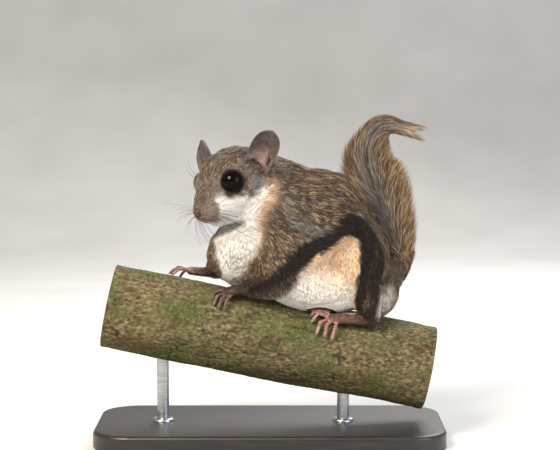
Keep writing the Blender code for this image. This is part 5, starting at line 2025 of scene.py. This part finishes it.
@dataclass
class EarFur(Dressed):
    """Very short fur at the foot of each ear, behind it and in front."""

    ears: Ears
    density: float = 7.0
    seed: int = 17

    def build(self) -> None:
        """Straight tufts from each ear's grids, leaning towards its tip."""
        dice = np.random.default_rng(self.seed)
        sets = []
        for points, quads, count, side in self.ears.surfaces:
            _, rise, facing, _ = self.ears.frame(side)
            for first, out in ((0, facing), (count, -facing)):
                sheet = points[first : first + count]
                corner = sheet[quads[:, :3]]
                normal = unit(np.cross(corner[:, 1] - corner[:, 0], corner[:, 2] - corner[:, 0]))
                normal *= np.where(normal @ out < 0, -1.0, 1.0)[:, None]
                origin = sheet[quads[:, 0]]
                area = norms(np.cross(sheet[quads[:, 1]] - origin, sheet[quads[:, 3]] - origin))
                middle = sheet[quads].mean(1)
                up = (middle - self.ears.frame(side)[0]) @ rise
                many = self.density if first else np.where(up < 2.6, 6.0, 1.2)
                furred = (up > (1 if first else -1.5)) & (up < 4.5)
                share = area * many * furred
                total = int(share.sum())
                pick = np.searchsorted(np.cumsum(share), dice.random(total) * share.sum())
                pick = np.minimum(pick, len(quads) - 1)
                blend = dice.dirichlet(np.ones(4), total)
                root = (sheet[quads[pick]] * blend[:, :, None]).sum(1)
                behind = np.full(total, 1.0 if first else 0.0)
                sets.append((root, normal[pick], np.tile(rise, (total, 1)), behind))
        root, normal, rise, back = (np.concatenate(part) for part in zip(*sets))
        count = len(root)
        way = unit(rise - normal * dot(rise, normal)[:, None] + dice.normal(0, 0.25, (count, 3)))
        length = dice.uniform(0.6, 1, count)[:, None] * mix(2.2, 1, back)[:, None]
        middle = root + way * length * 0.5 + normal * 0.14
        tip = root + way * length + normal * 0.16
        levels = np.stack([root - 0.05 * normal, middle, tip], axis=1)
        up = np.repeat(normal[:, None], 3, axis=1)
        across = unit(np.cross(up, np.repeat(way[:, None], 3, axis=1)))
        widths = np.tile([0.07, 0.08], (count, 1))
        shares = {
            "pale": mix(0.6, 0, back),
            "band": mix(0, 0.25, back),
            "buff": np.zeros(count),
            "grey": mix(0.6, 0.35, back),
            "rufous": np.zeros(count),
            "pink": mix(0.1, 0.25, back),
        }
        places = cylinder_map(root, *HEAD.place([(-10, -20, 6), (-10, 20, 6)]))
        tufts = TuftSet(levels, across, up, widths, shares, dice.random(count), places)
        self.keep(tufts.piece("ear_fur", np.arange(count), np.array([0.0, 0.5, 1.0])), "coat")


@dataclass
class TailBrush(Dressed):
    """The flat tail: long hairs that leave a thin core and sweep out and up to the brush's edge."""

    count: int = 17_000
    sweep: float = 12.0
    width: float = 0.22
    seed: int = 23

    def build(self) -> None:
        """Each hair runs from the core to a place in the brush's ellipse, further along."""
        dice = np.random.default_rng(self.seed)
        steps = 24
        rows = through(TAIL, steps)
        run = np.concatenate([[0.0], np.cumsum(norms(np.diff(rows[:, :3], axis=0)))])
        whole = run[-1]
        start = whole * np.sort(dice.random(self.count)) ** 0.92
        angle = dice.uniform(0, 2 * math.pi, self.count)
        reach = np.sqrt(dice.uniform(0.08, 1, self.count))
        x, y = reach * np.cos(angle), reach * np.sin(angle)
        x = 1.05 * np.sign(x) * np.abs(x) ** 0.65
        lock = noise(np.stack([start, 6 * x, 3 * y], axis=1), 1.6, 51)
        fine = noise(np.stack([start, 6 * x, 3 * y], axis=1), 0.8, 52)
        sweep = self.sweep * (0.75 + 0.3 * np.abs(x)) * dice.uniform(0.8, 1.15, self.count)
        sweep = sweep * (1 + 0.1 * lock)

        def at_length(far: Array) -> Array:
            """The tail's row at each distance along it."""
            return np.stack([np.interp(far, run, column) for column in rows.T], axis=1)

        def at(place: Array) -> tuple[Array, Array, Array, Array, Array]:
            """Middle, along, across, thickness direction and half sizes at distances along the tail."""
            clipped = np.clip(place, 0, whole)
            row = at_length(clipped)
            ahead, behind = (at_length(np.clip(clipped + step, 0, whole))[:, :3] for step in (0.8, -0.8))
            along = unit(ahead - behind)
            beyond = (place - clipped)[:, None] * along
            across = unit(np.cross(along, TAIL_FACE))
            return row[:, :3] + beyond, along, across, np.cross(across, along), row[:, 3:5]

        levels, ups = [], []
        for share in (0, 0.35, 0.7, 1):
            middle, along, across, face, size = at(start + sweep * share)
            bulge = share**0.75
            wide = size[:, :1] * 0.97 * (x * bulge)[:, None]
            thick = size[:, 1:] * 0.95 * (y * (share**0.6) + 0.12 * share * lock)[:, None]
            place = middle + across * (wide + 0.5 * (share * fine)[:, None]) + face * thick
            levels.append(place)
            ups.append(unit(face * np.where(y >= 0, 1.0, -1.0)[:, None] + 0.001))
        levels = np.stack(levels, axis=1)
        up = np.stack(ups, axis=1)
        way = np.gradient(levels, axis=1)
        across = unit(np.cross(up, way))
        up = unit(np.cross(way, across))
        widths = self.width * np.array([0.7, 1.0, 0.8])[None] * dice.uniform(0.8, 1.2, (self.count, 1))
        out = np.abs(x)
        middle_grey = fade(0.12, 0.75, out + 0.15 * lock)
        end = ramp(0.86, 0.98, start / whole)
        shares = {
            "pale": 0.35 * end * (lock > 0.1),
            # Painted shade: the band share rises towards the brush's -x edge, darkening that side only.
            "band": 0.12 + 0.12 * lock + 0.5 * ramp(0.45, 0.95, -x),
            "buff": 0.12 * ramp(0.55, 1, out) * (0.7 + 0.3 * lock) + 0.25 * end,
            "grey": 0.55 * middle_grey,
            "rufous": 0.2 + 0.25 * ramp(0.3, 0.8, out),
            "pink": np.zeros(self.count),
        }
        shares = {key: np.clip(value, 0, 1) for key, value in shares.items()}
        places = np.stack([angle / (2 * math.pi), start / whole], axis=1) * 0.98 + 0.01
        tufts = TuftSet(levels, across, up, widths, shares, dice.random(self.count), places)
        half = self.count // 2
        for name, keep in (("tail_lower", np.arange(half)), ("tail_upper", np.arange(half, self.count))):
            near, far = start[keep[[0, -1]]]
            places[keep, 1] = 0.01 + 0.98 * (start[keep] - near) / (far - near)
            self.keep(tufts.piece(name, keep, np.array([0.0, 0.35, 0.7, 1.0])), "coat")


# Perch and stand


@dataclass
class Perch(Dressed):
    """A cut length of branch under thin mossy bark, sawn square at both ends."""

    columns: int = 264
    around: int = 240
    end_rings: int = 14
    seed: int = 61

    def build(self) -> None:
        """Bark as a grid of x along and a round: radius + lumps - fissures, with a disc at each end.

        Fissures are where noise drawn out along the branch crosses zero.
        """
        x = np.linspace(*BRANCH_ENDS, self.columns)
        a = np.linspace(0, 2 * math.pi, self.around, endpoint=False)
        place = np.stack(np.meshgrid(x, a, indexing="ij"), axis=-1).reshape(-1, 2)
        radius, crack = self.bark(place[:, 0], place[:, 1])
        side = self.laid(place[:, 0], place[:, 1], radius)
        grid = side.reshape(self.columns, self.around, 3)
        shares = np.linspace(0.06, 1, self.end_rings)[:, None, None]
        rim = (shares < 0.99).repeat(self.around)
        ends = []
        for end in (0, -1):
            middle = branch_axis(x[[end]])[0]
            disc = (middle + (grid[end] - middle)[None] * shares).reshape(-1, 3)
            saw = 0.05 * noise(disc * np.array([1.0, 1.0, 6.0]), 1.1, self.seed)
            disc = disc + np.array([1.0, 0.0, 0.0]) * (saw * rim)[:, None]
            ends.append((disc.reshape(-1, self.around, 3), middle))
        (front, low), (rear, high) = ends
        radial = np.repeat(shares.ravel(), self.around)
        ring = np.concatenate([radial, np.ones(len(side)), radial[::-1], [0, 0]])
        cut = np.concatenate([np.ones(len(radial)), np.zeros(len(side)), np.ones(len(radial)), [1, 1]])
        # How deep in a fissure each place is, which the bark's material paints dark as shade.
        depth = np.concatenate([np.zeros(len(radial)), crack, np.zeros(len(radial)), [0, 0]])
        piece = mesh_piece("branch", *capped(np.concatenate([front, grid, rear[::-1]]), low, high))
        piece.data.set_sharp_from_angle(angle=math.radians(50))
        colour_layer(piece, "wood", [cut, ring, depth, 1])
        self.keep(piece, "bark", "perch_branch")

    def laid(self, x: Array, a: Array, radius: Array) -> Array:
        """Places on the branch at x along, a round and a distance from its middle line."""
        middle = branch_axis(x)
        up = radius * np.sin(a) / SLOPE_LENGTH
        return middle + np.stack([up * BRANCH_SLOPE, -radius * np.cos(a), up], axis=1)

    def bark(self, x: Array, a: Array) -> tuple[Array, Array]:
        """The bark's distance from the middle line, and how deep in a fissure each place is.

        Args:
            x: Along the branch.
            a: Round it.

        Returns:
            Radius and share of depth.
        """
        plain = BRANCH_RADIUS + branch_lumps(x, a)
        skin = np.stack([x, BRANCH_RADIUS * np.cos(a), BRANCH_RADIUS * np.sin(a)], axis=1)
        drawn = skin * np.array([0.3, 1.0, 1.0])
        ridge = np.abs(noise(drawn, 2.4, self.seed) + 0.5 * noise(drawn, 1.1, self.seed + 1))
        ring = np.abs(noise(skin * np.array([1.0, 0.22, 0.22]), 2.6, self.seed + 2))
        crack = np.maximum(fade(0, 0.16, ridge), 0.6 * fade(0, 0.06, ring))
        patch = ramp(-0.1, 0.5, noise(skin, 9, self.seed + 3))
        crack *= 0.25 + 0.75 * patch
        scale = 0.07 * noise(skin, 0.9, self.seed + 4) + 0.12 * noise(skin, 3.2, self.seed + 5)
        plain = plain + np.minimum(scale, 0.1) - 0.42 * crack
        for knot_x, knot_a, size in ((-41, 2.45, 4.2), (-8, 4.4, 3.6), (50, 0.75, 4.6), (12, 5.5, 3)):
            far = np.hypot(x - knot_x, BRANCH_RADIUS * np.angle(np.exp(1j * (a - knot_a)))) / size
            plain = plain + 0.55 * bell((far - 0.75) / 0.3) - 0.7 * bell(far / 0.42)
            crack = np.maximum(crack, 0.8 * bell(far / 0.4))
        return plain, crack


# A rod's collar: distance from the rod's middle and height over the slab, round its section
COLLAR_PROFILE = ((2.6, 0), (4.4, 0), (4.4, 0.5), (4.1, 0.95), (3.5, 1.15), (2.9, 1.2), (2.6, 1.1))


@dataclass
class Stand:
    """A flat dark slab with rounded corners, two short rods, and a collar where each rod enters."""

    length: float = 142.0
    width: float = 70.0
    height: float = 7.0
    corner: float = 16.0
    edge: float = 1.4
    rod_x: tuple[float, float] = (-44, 30)
    pieces: list = field(default_factory=list)

    def build(self) -> None:
        """The slab is its outline, inset and raised along a quarter-round profile at both edges."""
        def rounded(size: float, steps: int) -> tuple[Array, Array]:
            """The inset and the drop of a quarter round, from its side to its flat."""
            turn = np.linspace(0, math.pi / 2, steps)
            return size * (1 - np.cos(turn)), size * (1 - np.sin(turn))

        drop, inset = rounded(0.35 * self.edge, 6)
        low = list(zip(inset, drop))
        inset, drop = rounded(self.edge, 10)
        high = list(zip(inset, self.height - drop))
        under = [(d, 0.0) for d in (30.0, 20.0, 10.0, 3.0)]
        over = [(d, self.height) for d in (4.0, 12.0, 22.0, 30.0)]
        rings = np.stack([self.outline(inset, z) for inset, z in under + low + high + over])
        slab = mesh_piece("stand_slab", *capped(rings, (0, 0, 0), (0, 0, self.height)))
        hand_over(slab, "stand_wood", "stand_base")
        collars = []
        for x in self.rod_x:
            ring = np.array(COLLAR_PROFILE)
            a = np.linspace(0, 2 * math.pi, 48, endpoint=False)
            out, up = ring[:, 0, None], ring[:, 1, None]
            shape = [x + out * np.cos(a), out * np.sin(a), self.height + 0.02 + up * np.ones_like(a)]
            shape = np.stack(shape, axis=-1).transpose(1, 0, 2)
            quads = grid_faces(len(a), len(ring), closed=True)
            k = np.arange(len(ring))
            n = np.roll(k, -1)
            last = (len(a) - 1) * len(ring)
            seam = np.stack([last + k, last + n, n, k], axis=1)
            collars.append(turned_out(shape.reshape(-1, 3), [quads, seam]))
        piece = mesh_piece("stand_collars", *joined(collars))
        piece.data.set_sharp_from_angle(angle=math.radians(40))
        hand_over(piece, "stand_metal")
        self.pieces = [slab, piece]

    def outline(self, inset: float, z: float) -> Array:
        """A rounded rectangle this far inside the slab's edge, at a height."""
        corner = max(self.corner - inset, 1)
        h, w = self.length / 2 - inset - corner, self.width / 2 - inset - corner
        w, h = max(w, 0.5), max(h, 0.5)
        turn = np.linspace(0, math.pi / 2, 14)
        places = []
        for x, y, quarter in ((h, w, 0), (-h, w, 1), (-h, -w, 2), (h, -w, 3)):
            a = turn + quarter * math.pi / 2
            arc = [x + corner * np.cos(a), y + corner * np.sin(a), np.full(len(a), z)]
            places.append(np.stack(arc, axis=1))
        return np.vstack(places)

    def dress(self, wood: Material, steel: Material) -> None:
        """Stained wood for the slab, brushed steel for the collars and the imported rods."""
        for piece, material in zip(self.pieces, (wood, steel)):
            piece.data.materials.clear()
            piece.data.materials.append(material)
        for name in ("stand_rod_front", "stand_rod_rear"):
            rod = bpy.data.objects[name]
            for slot in rod.material_slots:
                slot.material = steel
            if not rod.material_slots:
                rod.data.materials.append(steel)


@dataclass
class Studio:
    """The camera at the photo's view, a pale floor and soft lights."""

    lens: float = 120.0
    sensor: float = 36.0
    pixels_per_mm: float = 2.45
    frame_pixels: int = 560
    target: Triple = (4.08, 0, 87.76)
    elevation: float = math.radians(5.0)

    def build(self) -> None:
        """Camera, floor, world and three area lights."""
        scene = bpy.context.scene
        far = self.frame_pixels / self.pixels_per_mm / self.sensor * self.lens
        back = np.array([0.0, -math.cos(self.elevation), math.sin(self.elevation)])
        camera = bpy.data.cameras.new("camera")
        camera.lens = self.lens
        camera.sensor_width = self.sensor
        camera.clip_start = 0.01
        place = (np.array(self.target) + back * far) * MM
        scene.camera = self.aimed(camera, Vector(place), Vector(-back))
        self.floor()
        self.light("key", (-0.34, -0.5, 0.52), 0.32, 9.5, "#fff4e6")
        self.light("fill", (0.55, -0.45, 0.28), 0.5, 3.2, "#eef3ff")
        self.light("rim", (0.2, 0.5, 0.55), 0.45, 5, "#ffffff")
        world = bpy.data.worlds.new("room")
        world.use_nodes = True
        sky = world.node_tree.nodes["Background"].inputs
        sky["Color"].default_value = linear("#dfe3e8")
        sky["Strength"].default_value = 0.55
        scene.world = world
        scene.view_settings.view_transform = "Standard"

    def floor(self) -> None:
        """A wide pale sheet that sweeps up far behind: y runs on, and z rises as its square."""
        x = np.linspace(-1600, 1600, 33)
        y = np.linspace(-1500, 1700, 49)
        grid = np.stack(np.meshgrid(y, x, indexing="ij")[::-1], axis=-1)
        rise = np.maximum(grid[:, :, 1] - 700, 0) ** 2 / 700
        points = np.concatenate([grid, rise[:, :, None]], axis=2).reshape(-1, 3)
        floor = mesh_piece("floor", points, [grid_faces(len(y), len(x))])
        floor.data.materials.append(PALE_PAPER.material())

    def light(self, name: str, place: Triple, size: float, power: float, code: str) -> None:
        """A square softbox that faces the animal."""
        lamp = bpy.data.lights.new(name, "AREA")
        lamp.size = size
        lamp.energy = power
        lamp.color = linear(code)[:3]
        self.aimed(lamp, Vector(place), Vector(self.target) * MM - Vector(place))

    def aimed(self, data: bpy.types.ID, place: Vector, way: Vector) -> Thing:
        """A camera or lamp at a place in metres, turned to look this way."""
        holder = bpy.data.objects.new(data.name, data)
        bpy.context.scene.collection.objects.link(holder)
        holder.location = place
        holder.rotation_mode = "QUATERNION"
        holder.rotation_quaternion = way.to_track_quat("-Z", "Y")
        return holder


def main() -> None:
    """Builds the scene from the camera down to the last whisker, and dresses each piece."""
    logging.basicConfig(level=logging.INFO, format="%(message)s")
    Studio().build()
    fur = FurFinish().material()
    perch, stand = Perch(), Stand()
    perch.build()
    perch.dress(BarkFinish().material())
    stand.build()
    stand.dress(STAINED_WOOD.material(), BRUSHED_STEEL.material())

    lie, markings = Lie(), Markings()
    skin = Skin(lie)
    surface = skin.build()
    skin.dress(markings, SkinFinish().material())
    ears = Ears()
    parts = (
        (Eyes(), EyeFinish()),
        (NosePad(), NoseFinish()),
        (Claws(), CLAW_HORN),
        (Whiskers(), WhiskerFinish()),
        (ears, EarFinish()),
    )
    for part, finish in parts:
        part.build()
        part.dress(finish.material())

    coat = Coat(surface, lie, markings)
    coat.share_out(coat.build())
    coat.dress(fur)
    for extra in (EarFur(ears), TailBrush()):
        extra.build()
        extra.dress(fur)


if __name__ == "__main__":
    main()
